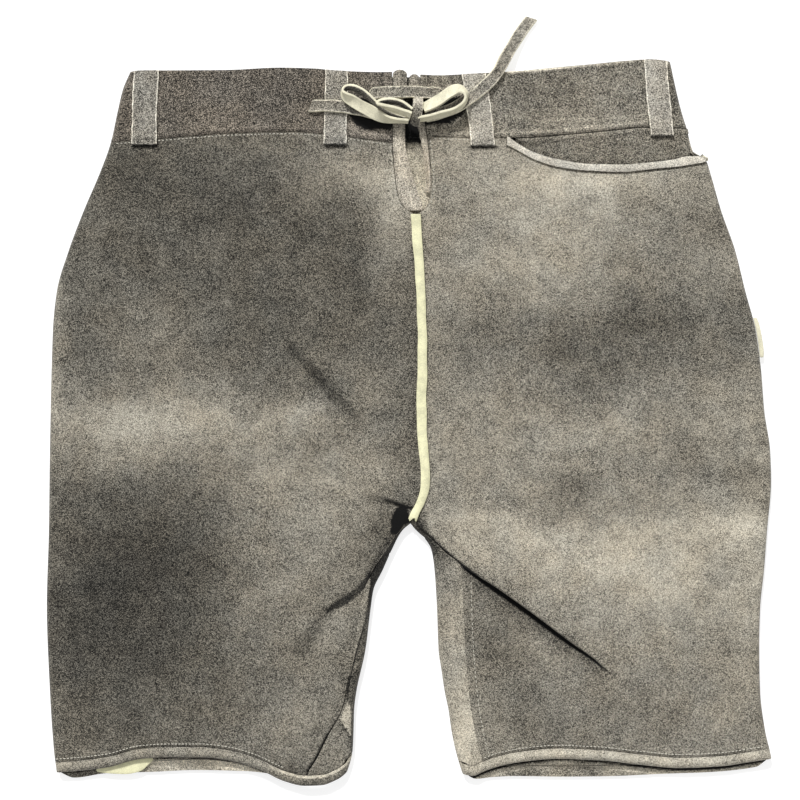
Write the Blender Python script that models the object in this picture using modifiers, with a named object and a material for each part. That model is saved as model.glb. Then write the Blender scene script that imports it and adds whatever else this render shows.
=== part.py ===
"""Short leather trousers (lederhosen) laid flat on their back, with a tied lace at the waist.

Run with: blender --background --python part.py
The garment lies in the XY plane with its waist towards +Y, and its back rests on the plane Z = 0.
X is positive towards the wearer's left side. Every piece of leather is a wall of its own thickness.
Tables are in millimetres; the helper table() turns them into metres.
"""

import math

import bmesh
import bpy
import numpy as np

MM = 0.001

# ---------------------------------------------------------------- driving dimensions (metres)
LEATHER = 2.0 * MM  # the hide that the four leg panels and the waistband are cut from
HEM_LEATHER = 2.3 * MM  # the hide doubled thinly round each leg opening
THIN_LEATHER = 1.4 * MM  # the hide of the fly gusset and the pocket facing
FACING_LEATHER = 2.4 * MM  # the rolled strips down both sides of the fly
LOOP_LEATHER = 1.7 * MM  # belt loops
PIPING_WIDTH = 6.8 * MM
PIPING_LEATHER = 1.3 * MM
BINDING_WIDTH = 4.8 * MM
BINDING_LEATHER = 1.1 * MM
TAB_LEATHER = 0.9 * MM  # the small cream tabs in the seams
LACE_WIDTH = 8.0 * MM
LACE_THICK = 1.8 * MM
STACK = 7.6 * MM  # height of front and back lying on each other, over the side seams
ROUND = STACK / 2  # outer radius of the fold at a side seam
GAP = 0.3 * MM  # clearance between pieces that are sewn or lie together
CURVED_GAP = 0.9 * MM  # clearance between two long curved edges that are sewn together
HEM_HEIGHT = 7.2 * MM  # depth of the hem band
CROTCH = (0.3 * MM, -69.0 * MM)  # where the centre seam and the two inseams meet
FLY_FOOT = 141.5 * MM  # where the slit of the fly ends
LEG_COLUMNS = 13  # grid columns across the flat of a front panel
EDGE_ANGLES = (0.0, 0.0, 34.0, 62.0, 90.0)  # degrees round the fold at a side seam
SEAM_RISE = (GAP / 2, 0.7 * MM)  # how far from the fold's middle height the first two columns lie


def table(columns, *rows):
    """A table in millimetres as a dict of named columns in metres."""
    return dict(zip(columns.split(), np.array(rows, float).T * MM, strict=True))


# ---------------------------------------------------------------- outline of the garment, flat
# How far across (x) the side fold lies at each height (y).
SIDE_LEFT = table(
    "y x",
    (-241, -240.2), (-223, -242.4), (-183, -245.1), (-125, -247.2), (-74, -245.8), (-19, -245.1),
    (62, -243.1), (89, -240.4), (117, -232.2), (144, -222.0), (171, -210.5), (190, -203.7),
    (212, -198.9), (226, -195.5), (238, -190.5), (242, -188.5),
)
SIDE_RIGHT = table(
    "y x",
    (-236, 246.6), (-228, 245.8), (-210, 241.7), (-183, 238.3), (-155, 237.7), (-128, 238.3),
    (-101, 241.0), (-74, 243.1), (-40, 245.8), (-19, 245.1), (8, 241.1), (35, 239.0), (62, 235.4),
    (89, 228.3), (117, 221.3), (144, 211.8), (171, 204.0), (177, 202.0), (181, 198.2), (184, 192.8),
    (199, 188.6),
    (212, 184.6), (226, 181.2), (245, 177.0), (249, 176.0),
)
# The fold along the inside of each leg, from the crotch down.
INNER_LEFT = table(
    "y x",
    (-246, -48.0), (-237, -42.5), (-223, -39.0), (-210, -38.4), (-196, -38.0), (-183, -36.4),
    (-155, -30.3), (-128, -26.9), (-114, -24.8), (-101, -18.7), (-87, -12.4), (-74, -5.4),
    (-69, 0.3),
)
INNER_RIGHT = table(
    "y x",
    (-244, 37.5), (-237, 35.0), (-223, 30.9), (-210, 28.2), (-196, 26.2), (-183, 23.5),
    (-169, 21.4), (-155, 19.4), (-128, 18.4), (-101, 16.7), (-87, 14.6), (-78, 9.0), (-74, 4.4),
    (-69, 0.3),
)
# The centre seam down the front, and the same seam as it runs up the back.
CENTRE_FRONT = table(
    "y x",
    (-69, 0.3), (-62, 3.0), (-55, 6.7), (-44, 10.0), (-34, 10.7), (-17, 9.2), (0, 8.0), (16, 7.4),
    (32, 8.1), (57, 8.7), (82, 7.5), (115, 5.4), (141, 4.2), (250, 0.0),
)
CENTRE_BACK = table("y x", (-69, 0.3), (-30, 3.0), (60, 2.0), (190, 0.0), (250, 0.0))
# The inseams. They lie on top, because each back panel comes round the inside of the leg.
INSEAM_LEFT = table(
    "y x",
    (-247, -74.0), (-238, -69.7), (-228, -63.5), (-213, -56.0), (-198, -47.5), (-189, -44.6),
    (-178, -42.8), (-162, -39.2), (-121, -33.2), (-105, -27.4), (-87, -15.8), (-74, -6.4),
    (-69, 0.3),
)
INSEAM_RIGHT = table(
    "y x",
    (-244, 54.0), (-227, 48.5), (-196, 41.8), (-153, 37.7), (-120, 36.3), (-105, 36.0),
    (-98, 35.0), (-88, 23.9), (-78, 13.4), (-74, 7.0), (-69, 0.3),
)
# The edges of the two front panels down both sides of the fly.
FLY_LEFT = table(
    "y x", (141.5, 3.9), (144, -2.4), (150, -6.6), (160, -9.4), (175, -11.0), (189, -12.0), (250, -12.0)
)
FLY_RIGHT = table(
    "y x",
    (141.5, 4.5), (144, 9.2), (151, 13.0), (163, 14.6), (180, 13.4), (195, 11.6), (215, 8.4),
    (250, 5.8),
)
# The free edges of the rolled facings, which meet above the lace and part below it.
FACING_LEFT = table(
    "y x",
    (144, 8.6), (148, 8.2), (152, 6.6), (164, 2.8), (180, -1.6), (189, -3.2), (201, -3.4), (218, -2.4),
    (250, -1.8),
)
FACING_RIGHT = table(
    "y x",
    (152, 12.2), (164, 12.8), (172, 12.0), (180, 10.6), (188, 8.4), (196, 6.4), (206, 3.4),
    (218, -0.6), (250, -0.9),
)
# Heights of the lines that run across, by their distance across.
WAIST_LEFT = table(
    "x y", (-206, 190), (-172, 192.4), (-120, 196.2), (-82, 197.2), (-60, 195.8), (-41, 193.5), (-10, 189.2)
)
WAIST_RIGHT = table(
    "x y", (8, 194.4), (57, 192.8), (83, 193.5), (106, 195.4), (138, 198.3), (160, 200.4), (191, 199.4)
)
WAIST_BACK = table("x y", (-206, 190), (-120, 193), (0, 193.5), (120, 197), (191, 199.4))
BAND_TOP_LEFT = table(
    "x y",
    (-196, 236.4), (-190, 238.2), (-181, 238.8), (-125, 239.2), (-88, 240.8), (-65, 240.2),
    (-50, 238.8), (-21, 237.8), (-1, 238.2),
)
BAND_TOP_RIGHT = table(
    "x y",
    (-1, 236.6), (20, 235.6), (41, 236.6), (71, 238.4), (102, 241), (132, 243.8), (163, 246.4),
    (180, 244.6),
)
BAND_TOP_BACK = table(
    "x y",
    (-196, 236.4), (-120, 238.8), (-60, 238.2), (0, 235.0), (41, 236.0), (71, 239.0), (120, 243.6),
    (163, 247.0), (180, 244.6),
)
HEM_FRONT_LEFT = table(
    "x y",
    (-244, -238.4), (-239, -238.2), (-207, -235.0), (-184, -229.2), (-163, -227.6), (-143, -227.6),
    (-122, -230.2),
    (-103, -236.0),
    (-85, -244.3), (-72, -247.2), (-60, -246.8), (-50, -243.2), (-43, -238.2), (-36, -229.0),
)
HEM_BACK_LEFT = table(
    "x y",
    (-244, -238.4), (-239, -238.9), (-229, -242.4), (-207, -239.4), (-175, -238.4), (-146, -237.2),
    (-111, -238.0),
    (-85, -241.5), (-72, -244.4), (-60, -244.2), (-50, -241.2), (-43, -236.6), (-36, -228.0),
)
HEM_FRONT_RIGHT = table(
    "x y",
    (32, -237.6), (38, -239.8), (43, -240.6), (49, -238.0), (61, -233.9), (77, -230.8), (102, -228.6),
    (129, -229.8),
    (156, -232.9), (184, -235.2), (211, -234.0), (231, -231.2), (249, -228.4),
)
HEM_BACK_RIGHT = table(
    "x y",
    (32, -237.6), (38, -240.2), (45, -243.2), (56, -242.0), (72, -241.3), (105, -241.7), (138, -241.3),
    (171, -239.8),
    (204, -238.6), (236, -235.0), (243, -230.4), (249, -228.4),
)
# The mouth of the pocket: the top edge of the right front panel outside x = 65.
POCKET_MOUTH = table(
    "x y",
    (64, 194.0), (72, 189.6), (84, 183.2), (102, 178.0), (122, 175.2), (143, 174.8), (172, 177.2),
    (203, 181.6),
)
# The deep crease that runs down the right leg from the inseam, and on past its end as a plain row.
CREASE = table(
    "x y",
    (30, -92), (36, -98.4), (61, -115.7), (85, -132.9), (108, -150.1), (124, -161.0), (138, -171.9),
    (170, -186), (249, -196),
)
CREASE_FADE = (88 * MM, 143 * MM)  # the crease has its full height up to the first x, none at the second
CREASE_GROWS = (30 * MM, 62 * MM)  # and it grows from this share of its height between these two
CREASE_START = 0.15
CREASE_LIFT = 5.0 * MM
# Rows over the crease: how far above it (y) and how much of its lift (share), and where that row
# lies in flat cloth (flat).
CREASE_ROWS = (
    {"y": 24, "share": 0.30, "flat": 24},
    {"y": 13, "share": 0.68, "flat": 15},
    {"y": 5.5, "share": 0.96, "flat": 8},
    {"y": 1.4, "share": 0.98, "flat": 3},
    {"y": -1.3, "share": 0.78, "flat": -1},
    {"y": -2.0, "share": 0.42, "flat": -4},
    {"y": -1.7, "share": 0.12, "flat": -7},
    {"y": -4.0, "share": -0.02, "flat": -10},
    {"y": -12, "share": -0.10, "flat": -15},
)
# Soft troughs (negative rise) and ridges in the front, from one point to another.
FOLDS = table(
    "x1 y1 x2 y2 rise width",
    (-82, 57, -46, 14, -2.6, 9),  # hip crease
    (-98, 34, -62, -6, 1.8, 15),  # the ridge beside it
    (-84, -14, -14, -46, 2.2, 15),  # thigh ridge
    (-22, -56, 2, -61, -2.4, 4.5),  # tuck beside the crotch
    (-58, -129, -22, -98, -2.6, 6),  # fold inside the left leg
    (-74, -112, -34, -80, 2.0, 10),
    (-200, 120, -150, -20, 1.8, 26),
    (-175, -60, -110, -190, -2.2, 22),
    (-215, -40, -190, -190, 1.6, 20),
    (-150, -222, -142, -186, 2.6, 24),  # lift of the left hem
    (-72, -205, -62, -240, 1.6, 13),
    (-46, 150, -22, 60, 1.6, 18),
    (26, 120, 40, 20, 1.6, 18),
    (92, 140, 150, 40, -1.8, 22),
    (200, 120, 216, 0, 1.6, 18),
    (60, -20, 170, -40, 1.8, 20),
    (178, -90, 210, -190, -1.9, 18),
    (112, -226, 116, -192, 2.4, 26),  # lift of the right hem
    (60, -190, 70, -140, 1.2, 14),
    (-120, 172, -60, 180, 1.0, 12),
    (-140, 214, -90, 218, 0.9, 10),
    (90, 218, 140, 224, 0.9, 10),
)


# ---------------------------------------------------------------- curves and heights
def smoothstep(value, low, high):
    """0 below low, 1 above high, and a smooth rise between them."""
    share = np.clip((value - low) / (high - low), 0, 1)
    return share * share * (3 - 2 * share)


def follow(rows, key, at):
    """Reads a table's second column at values of its first, along a smooth curve that never overshoots."""
    other = next(name for name in rows if name != key)
    x, y = rows[key], rows[other]
    step = np.diff(x)
    slope = np.diff(y) / step
    inner = np.where(
        slope[:-1] * slope[1:] > 0,
        2 * slope[:-1] * slope[1:] / np.where(slope[:-1] + slope[1:] == 0, 1, slope[:-1] + slope[1:]),
        0,
    )
    bend = np.concatenate([slope[:1], inner, slope[-1:]])
    at = np.asarray(at, float)
    i = np.clip(np.searchsorted(x, at) - 1, 0, len(x) - 2)
    t = np.clip((at - x[i]) / step[i], 0, 1)
    return (
        (1 + 2 * t) * (1 - t) ** 2 * y[i]
        + t * (1 - t) ** 2 * step[i] * bend[i]
        + t * t * (3 - 2 * t) * y[i + 1]
        + t * t * (t - 1) * step[i] * bend[i + 1]
    )


def line_of(rows, points=90):
    """Points (x, y) along a table of x by y."""
    y = np.linspace(rows["y"].min(), rows["y"].max(), points)
    return np.stack([follow(rows, "y", y), y], axis=1)


FOLD_LINES = [line_of(rows) for rows in (SIDE_LEFT, SIDE_RIGHT, INNER_LEFT, INNER_RIGHT)]


def distance_to_line(x, y, a, b):
    """Distance of each point (x, y) from the straight stretch between a and b, and the share along it."""
    along = b - a
    share = ((x - a[0]) * along[0] + (y - a[1]) * along[1]) / (along @ along)
    share = np.clip(share, 0, 1)
    return np.hypot(x - a[0] - share * along[0], y - a[1] - share * along[1]), share


def inset(x, y):
    """How far inside the nearest side or leg fold each point lies."""
    best = 1 + 0 * (x + y)
    for line in FOLD_LINES:
        for a, b in zip(line[:-1], line[1:], strict=True):
            best = np.minimum(best, distance_to_line(x, y, a, b)[0])
    return best


def relief(x, y):
    """Height of the front's soft ridges and troughs: a bell across each one that tapers at its ends."""
    rise = 0 * (x + y)
    for i in range(len(FOLDS["x1"])):
        row = {name: column[i] for name, column in FOLDS.items()}
        start, end = np.array([row["x1"], row["y1"]]), np.array([row["x2"], row["y2"]])
        away, _ = distance_to_line(x, y, start, end)
        rise = rise + row["rise"] * np.exp(-((away / row["width"]) ** 2))
    return rise


def skin(x, y, front):
    """Height of the outer face: a half round at each fold, then the relief in front or the floor behind."""
    away = inset(x, y)
    depth = np.clip(away / ROUND, 0, 1)
    half = ROUND * np.sqrt(np.clip(1 - (1 - depth) ** 2, 0, 1))
    top = ROUND + half + relief(x, y) * smoothstep(away, ROUND, 24 * MM)
    return np.where(front, top, ROUND - half)


# ---------------------------------------------------------------- Blender helpers
def material(name, colour, roughness):
    made = bpy.data.materials.new(name)
    made.use_nodes = True
    shader = made.node_tree.nodes["Principled BSDF"]
    shader.inputs["Base Color"].default_value = (*colour, 1)
    shader.inputs["Roughness"].default_value = roughness
    return made


def clear_scene():
    """Removes what the scene holds and returns the collection that the garment goes into."""
    for obj in list(bpy.data.objects):
        bpy.data.objects.remove(obj)
    collection = bpy.data.collections.new("lederhosen")
    bpy.context.scene.collection.children.link(collection)
    return collection


def link(name, mesh, finish):
    mesh.materials.append(finish)
    obj = bpy.data.objects.new(name, mesh)
    PARTS.objects.link(obj)
    return obj


def sheet(name, grid, thickness, finish, closed=False, up=True, offset=-1):
    """A grid of points (rows, columns, xyz) as a wall of leather.

    The grid is the outer face and Solidify goes inwards, or both ways with offset 0. closed joins
    the last column to the first, as a ring. up says whether the first columns' outer face looks up.
    """
    rows, columns = grid.shape[:2]
    third = max(columns // 6, 1)
    a, b = grid[1:, :third] - grid[:-1, :third], grid[:-1, 1 : third + 1] - grid[:-1, :third]
    if (np.cross(a, b)[..., 2].sum() > 0) != up:
        grid = grid[::-1]
    mesh = bpy.data.meshes.new(name)
    faces = []
    for r in range(rows - 1):
        for c in range(columns if closed else columns - 1):
            d = (c + 1) % columns
            faces.append((r * columns + c, (r + 1) * columns + c, (r + 1) * columns + d, r * columns + d))
    mesh.from_pydata(grid.reshape(-1, 3).tolist(), [], faces)
    obj = link(name, mesh, finish)
    wall = obj.modifiers.new("wall", "SOLIDIFY")
    wall.thickness = thickness
    wall.offset = offset
    mesh.shade_smooth()
    mesh.set_sharp_from_angle(angle=math.radians(40))
    return obj


def raised(x, y, z):
    return np.stack(np.broadcast_arrays(x, y, z), axis=-1)


# ---------------------------------------------------------------- the leg panels
def settle(side, middle, top, bottom, across, down):
    """Grid points between two side lines, given by height, and two cross lines, given by distance across.

    across and down are the shares of each grid point. Each round reads the side lines at the last
    heights and the cross lines at the last distances, until both agree.
    """
    x = side(0 * down) * (1 - across) + middle(0 * down) * across
    y = top(x) * (1 - down) + bottom(x) * down
    for _ in range(24):
        y = 0.5 * y + 0.5 * (top(x) * (1 - down) + bottom(x) * down)
        x = side(y) * (1 - across) + middle(y) * across
    return x, y


def across_panel(columns, width):
    """Shares across a panel: close together round the side fold, then even to the other side."""
    edge = ROUND * (1 - np.cos(np.radians(EDGE_ANGLES))) / width
    return np.concatenate([edge, np.linspace(edge[-1], 1, columns + 1)[1:]])


def crotch_gap(y):
    """Half the clearance along a seam: wider where the wall turns down at the crotch."""
    along_leg = 0.25 * MM * (y < CROTCH[1])
    return CURVED_GAP / 2 + along_leg + 0.8 * MM * np.exp(-(((y - CROTCH[1] + 4 * MM) / (14 * MM)) ** 2))


def front_line(side, y):
    """Where a front panel ends towards the middle: the fly, then the centre seam, then the inseam."""
    fly, inseam, sign = (FLY_LEFT, INSEAM_LEFT, -1) if side == "left" else (FLY_RIGHT, INSEAM_RIGHT, 1)
    seam = np.where(y < CROTCH[1], follow(inseam, "y", y), follow(CENTRE_FRONT, "y", y))
    return np.where(y > FLY_FOOT, follow(fly, "y", y), seam) + sign * crotch_gap(y)


# Heights, at the middle edge of both front panels, of the rows from the waist to the crotch: close
# together where the slit of the fly is round.
FRONT_ROWS = np.array(
    (176, 166, 158, 152, 147, 144, 142.2, 140.5, 128, 110, 92, 74, 56, 38, 20, 2, -16, -32, -45, -57)
)
LEG_ROWS = np.array((-67, -76, -87, -98, -110, -126, -144, -162, -176, -187, -196, -203))


def row_shares(heights, top, bottom):
    """Shares down a panel at which its middle edge passes the given heights (in millimetres)."""
    return np.concatenate([[0], (top - heights * MM) / (top - bottom), [1]])


def front_left():
    across = across_panel(LEG_COLUMNS, 230 * MM)[None, :]
    foot = HEM_FRONT_LEFT["y"][-1] + HEM_HEIGHT
    down = row_shares(np.concatenate([FRONT_ROWS, LEG_ROWS]), WAIST_LEFT["y"][-1], foot)[:, None]
    x, y = settle(
        lambda y: follow(SIDE_LEFT, "y", y),
        lambda y: front_line("left", y),
        lambda x: follow(WAIST_LEFT, "x", x),
        lambda x: follow(HEM_FRONT_LEFT, "x", x) + HEM_HEIGHT + CURVED_GAP,
        across,
        down,
    )
    z = skin(x, y, True)
    z[:, :2] = ROUND + np.array(SEAM_RISE)
    sheet("front_left", raised(x, y, z), LEATHER, GREY)


def front_top(x):
    """Top edge of the right front panel: the waist seam, then down along the pocket mouth."""
    mouth = np.where(x > POCKET_MOUTH["x"][0], follow(POCKET_MOUTH, "x", x), 1.0)
    return np.minimum(follow(WAIST_RIGHT, "x", x), mouth)


def front_right():
    """The right front panel, with rows added where it folds over itself along the crease."""
    across = across_panel(LEG_COLUMNS, 215 * MM)

    def side(y):
        return follow(SIDE_RIGHT, "y", y)

    def middle(y):
        return front_line("right", y)

    def crease(x):
        return follow(CREASE, "x", x)

    def hem(x):
        return follow(HEM_FRONT_RIGHT, "x", x) + HEM_HEIGHT + CURVED_GAP

    def over_crease(x):
        return crease(x) + CREASE_ROWS[0]["flat"] * MM

    def under_crease(x):
        return crease(x) + CREASE_ROWS[-1]["flat"] * MM

    rows = []
    for share in row_shares(FRONT_ROWS, WAIST_RIGHT["y"][0], -67 * MM)[:-1]:
        x, y = settle(side, middle, front_top, over_crease, across, np.full_like(across, share))
        rows.append((x, y, 0 * x))
    for row in CREASE_ROWS:
        x, y = settle(side, middle, crease, crease, across, 0 * across)
        full = CREASE_START + (1 - CREASE_START) * smoothstep(x, *CREASE_GROWS)
        full = full * (1 - smoothstep(x, *CREASE_FADE))
        rows.append((x, y + (row["y"] * full + row["flat"] * (1 - full)) * MM, row["share"] * full))
    for share in np.linspace(0, 1, 7)[1:]:
        x, y = settle(side, middle, under_crease, hem, across, np.full_like(across, share))
        rows.append((x, y, 0 * x))
    x, y, lift = (np.array([row[i] for row in rows]) for i in range(3))
    # The shifted rows of the crease still end on the side and on the inseam.
    x = side(y) * (1 - across) + middle(y) * across
    z = skin(x, y, True) + CREASE_LIFT * lift
    z[:, :2] = ROUND + np.array(SEAM_RISE)
    sheet("front_right", raised(x, y, z), LEATHER, GREY)


def back(side):
    """A back panel: from the side seam along the floor to the centre seam, and below the crotch on
    round the inside of the leg to the inseam, which lies on top."""
    left = side == "left"
    sign = 1 if left else -1
    outer, inner, inseam = (
        (SIDE_LEFT, INNER_LEFT, INSEAM_LEFT) if left else (SIDE_RIGHT, INNER_RIGHT, INSEAM_RIGHT)
    )
    hem_back, hem_front = (
        (HEM_BACK_LEFT, HEM_FRONT_LEFT) if left else (HEM_BACK_RIGHT, HEM_FRONT_RIGHT)
    )
    floor_share = across_panel(1, 215 * MM)[:-1]
    floor_share = np.concatenate([floor_share, (0.2, 0.4, 0.57, 0.71, 0.82, 0.9, 0.96, 1)])
    turns = np.radians((-60, -30, 0, 30, 60, 85))
    grid = []
    for share in np.linspace(0, 1, 10)[:-1]:
        across = np.concatenate([floor_share * 0.955, 0.955 + 0.045 * np.linspace(0, 1, 9)[1:]])
        x, y = settle(
            lambda y: follow(outer, "y", y),
            lambda y: follow(CENTRE_BACK, "y", np.maximum(y, CROTCH[1])) - sign * crotch_gap(y),
            lambda x: follow(WAIST_BACK, "x", x),
            lambda x: np.full_like(x, CROTCH[1]) + 5 * MM,
            across,
            np.full_like(across, share),
        )
        grid.append(raised(x, y, skin(x, y, False)))
    for share in (0.0, 0.025, 0.06, 0.11, 0.18, 0.28, 0.4, 0.52, 0.64, 0.73, 0.81, 0.9, 1.0):

        def level(x, hem, share=share):
            return CROTCH[1] * (1 - share) + (follow(hem, "x", x) + HEM_HEIGHT + CURVED_GAP) * share

        x_floor, y_floor = settle(
            lambda y: follow(outer, "y", y),
            lambda y: follow(inner, "y", y) - sign * ROUND,
            lambda x: level(x, hem_back),
            lambda x: level(x, hem_back),
            floor_share,
            0 * floor_share,
        )
        y_turn = y_seam = y_floor[-1]
        for _ in range(40):
            y_turn = 0.5 * y_turn + 0.5 * level(follow(inner, "y", y_turn), hem_back)
            y_seam = 0.5 * y_seam + 0.5 * level(follow(inseam, "y", y_seam), hem_front)
        fold = follow(inner, "y", y_turn)
        reach = max(abs(fold - follow(inseam, "y", y_seam)) - 1.3 * float(crotch_gap(y_seam)), 0.0)
        if reach > ROUND:
            angle = turns
            flat = (reach - ROUND) * np.array([0.5, 1.0])
        else:
            last = math.acos(1 - reach / ROUND)
            angle = -math.pi / 2 + (last + math.pi / 2) * np.linspace(0, 1, 9)[1:]
            flat = np.zeros(0)
        way = np.concatenate([ROUND * (1 - np.cos(angle)), ROUND + flat])
        rise = np.where(way > 0, way, 0) * np.concatenate([angle > 1e-6, flat > -1])
        x_turn = fold - sign * way
        y_line = y_turn + (y_seam - y_turn) * rise / max(reach, 0.5 * MM)
        z_turn = np.concatenate([ROUND * (1 + np.sin(angle)), skin(x_turn, y_line, True)[len(angle) :]])
        grid.append(
            raised(
                np.concatenate([x_floor, x_turn]),
                np.concatenate([y_floor, y_line]),
                np.concatenate([skin(x_floor, y_floor, False), z_turn]),
            )
        )
    grid = np.array(grid)
    grid[:, :2, 2] = ROUND - np.array(SEAM_RISE)
    sheet("back_" + side, grid, LEATHER, GREY, up=False)


def hem(side):
    """The hem band of one leg: a ring whose rows run over the front of the leg and back under it."""
    left = side == "left"
    outer, inner = (SIDE_LEFT, INNER_LEFT) if left else (SIDE_RIGHT, INNER_RIGHT)
    hem_front = HEM_FRONT_LEFT if left else HEM_FRONT_RIGHT
    hem_back = HEM_BACK_LEFT if left else HEM_BACK_RIGHT
    edges = {True: hem_front, False: hem_back}
    sign = 1 if left else -1
    turn = ROUND * (1 - np.cos(np.radians([0, 30, 60, 90])))
    rows = []
    for up in (1.0, 0.5, 0.0):
        parts = []
        for front in (True, False):
            ends = []
            for edge in (outer, inner):
                y = -220 * MM
                for _ in range(60):
                    y = 0.6 * y + 0.4 * (follow(edges[front], "x", follow(edge, "y", y)) + up * HEM_HEIGHT)
                ends.append(float(follow(edge, "y", y)))
            flat = np.linspace(ends[0] + sign * ROUND, ends[1] - sign * ROUND, 20)[1:-1]
            x = np.concatenate([ends[0] + sign * turn, flat, (ends[1] - sign * turn)[::-1]])
            y = follow(edges[front], "x", x) + up * HEM_HEIGHT
            parts.append(raised(x, y, skin(x, y, front)))
        rows.append(np.concatenate([parts[0], parts[1][::-1][1:-1]]))
    sheet("hem_" + side, np.array(rows), HEM_LEATHER, GREY, closed=True)


# ---------------------------------------------------------------- waistband, loops and fly
def band_height(side, x, up):
    """Height (y) of a point on the front of the waistband, by the share of the band's depth."""
    seam, top = (WAIST_LEFT, BAND_TOP_LEFT) if side == "left" else (WAIST_RIGHT, BAND_TOP_RIGHT)
    return (follow(seam, "x", x) + GAP) * (1 - up) + follow(top, "x", x) * up


def waistband(side):
    """Half of the waistband, in one strip: from the fly round the side fold to the centre back."""
    left = side == "left"
    sign = 1 if left else -1
    outer, fly = (SIDE_LEFT, FLY_LEFT) if left else (SIDE_RIGHT, FLY_RIGHT)
    angles = np.radians([90, 60, 30, 0])
    rows = []
    for up in (0.0, 0.33, 0.66, 1.0):
        y = 0.2
        for _ in range(40):
            y = 0.5 * y + 0.5 * float(band_height(side, follow(outer, "y", y), up))
        edge = float(follow(outer, "y", y))
        fly_x = float(follow(fly, "y", band_height(side, -sign * 10 * MM, up))) - sign * GAP / 2
        turn = edge + sign * ROUND * (1 - np.cos(angles))
        front_x = np.concatenate([np.linspace(fly_x, turn[0], 14)[:-1], turn])
        back_x = np.concatenate([turn[::-1][1:], np.linspace(turn[0], -sign * GAP / 2, 8)[1:]])
        front_y = band_height(side, front_x, up)
        back_seam = follow(WAIST_BACK, "x", back_x) + GAP
        back_y = back_seam * (1 - up) + follow(BAND_TOP_BACK, "x", back_x) * up
        front = raised(front_x, front_y, skin(front_x, front_y, True))
        rows.append(np.concatenate([front, raised(back_x, back_y, skin(back_x, back_y, False))]))
    sheet("waistband_" + side, np.array(rows), LEATHER, GREY)


LOOPS = table(
    "x_top x_foot y_foot width",
    (-179.0, -180.8, 188.2, 17.0),
    (-50.0, -50.6, 188.4, 15.6),
    (43.5, 49.6, 187.6, 16.5),
    (166.6, 171.0, 194.4, 15.8),
)


def belt_loop(number):
    """A strip from just under the waist seam up to the band's top edge, sewn at both ends."""
    row = {name: column[number - 1] for name, column in LOOPS.items()}
    side = "left" if row["x_top"] < 0 else "right"
    sides = np.array([-0.5, 0, 0.5]) * row["width"]
    rows = []
    for up in np.linspace(0, 1, 6):
        x = row["x_foot"] * (1 - up) + row["x_top"] * up + sides
        y = row["y_foot"] * (1 - up) + band_height(side, x, 1.0) * up
        z = np.full_like(x, skin(x, y, True).max() + GAP + LOOP_LEATHER)
        rows.append(raised(x, y, z))
    sheet(f"belt_loop_{number}", np.array(rows), LOOP_LEATHER, TRIM)


def fly_facing(side):
    """The rolled strip down one side of the fly, fullest along its middle."""
    left = side == "left"
    free, fly = (FACING_LEFT, FLY_LEFT) if left else (FACING_RIGHT, FLY_RIGHT)
    sign = 1 if left else -1
    y = np.linspace((143.6 if left else 156) * MM, (239.2 if left else 236.2) * MM, 15)[:, None]
    across = np.linspace(0, 1, 5)[None, :]
    seam = follow(fly, "y", y) + sign * GAP
    edge = follow(free, "y", y)
    if left:
        edge = np.minimum(edge, follow(FLY_RIGHT, "y", y) - GAP)
    x = seam * (1 - across) + edge * across
    roll = np.minimum(0.9 * MM, 0.09 * np.abs(seam - edge))
    z = skin(x, y, True) + roll * np.sin(math.pi * across)
    sheet("fly_facing_" + side, raised(x, y, z), FACING_LEATHER, GREY)


def fly_gusset():
    """The piece behind the slit of the fly, under both facings."""
    y = np.linspace(138, 192, 7)[:, None] * MM
    across = np.linspace(0, 1, 7)[None, :]
    x = (follow(FLY_LEFT, "y", y) - 4 * MM) * (1 - across) + (follow(FLY_RIGHT, "y", y) + 4 * MM) * across
    z = skin(x, y, True) - FACING_LEATHER - GAP
    sheet("fly_gusset", raised(x, y, z), THIN_LEATHER, TRIM)


def seam_piping():
    """The cream strip over the centre seam, from the foot of the fly to the crotch."""
    y = np.linspace(-66, 141.2, 20)[:, None] * MM
    across = np.linspace(-1, 1, 5)[None, :]
    x = follow(CENTRE_FRONT, "y", y) + across * PIPING_WIDTH / 2
    z = skin(x, y, True) + GAP + PIPING_LEATHER + 1.0 * MM * (1 - across**2)
    sheet("front_seam_piping", raised(x, y, z), PIPING_LEATHER, CREAM)


def pocket_back():
    """The piece that closes the pocket: level with the waist seam, then down behind the pocket's mouth."""
    x = np.concatenate([np.linspace(72, 187, 12), [190.5]])[None, :] * MM
    down = np.linspace(0, 1, 7)[:, None]
    top = follow(WAIST_RIGHT, "x", x) - GAP
    mouth = front_top(x)
    tucked = smoothstep(x, 68 * MM, 84 * MM) * (1 - smoothstep(x, 183 * MM, 190 * MM))
    reach = (top - mouth) + 11 * MM * tucked
    y = top - reach * down
    sunk = (LEATHER + 2 * GAP) * smoothstep(top - y, 0, np.maximum(top - mouth, 4 * MM) - 1.2 * MM)
    limit = follow(SIDE_RIGHT, "y", y) - 1.2 * MM
    x = np.minimum(x, limit)
    z = skin(x, y, True) - sunk
    sheet("pocket_back", raised(x, y, z), THIN_LEATHER, TRIM)


def pocket_binding():
    """The light strip sewn along the pocket's mouth, on the front panel's edge."""
    x = np.linspace(66, 195.5, 20)[None, :] * MM
    down = np.linspace(0, 1, 3)[:, None]
    y = front_top(x) - 0.4 * MM - BINDING_WIDTH * down
    z = skin(x, y, True) + GAP + BINDING_LEATHER
    sheet("pocket_binding", raised(x, y, z), BINDING_LEATHER, CREAM)


def side_tab():
    """The small cream tab in the side seam."""
    y = np.linspace(44, 71, 4)[:, None] * MM
    x = follow(SIDE_RIGHT, "y", y) + np.array([GAP, 3.0 * MM])
    sheet("side_tab_right", raised(x, y, ROUND + TAB_LEATHER / 2), TAB_LEATHER, CREAM)


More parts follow.
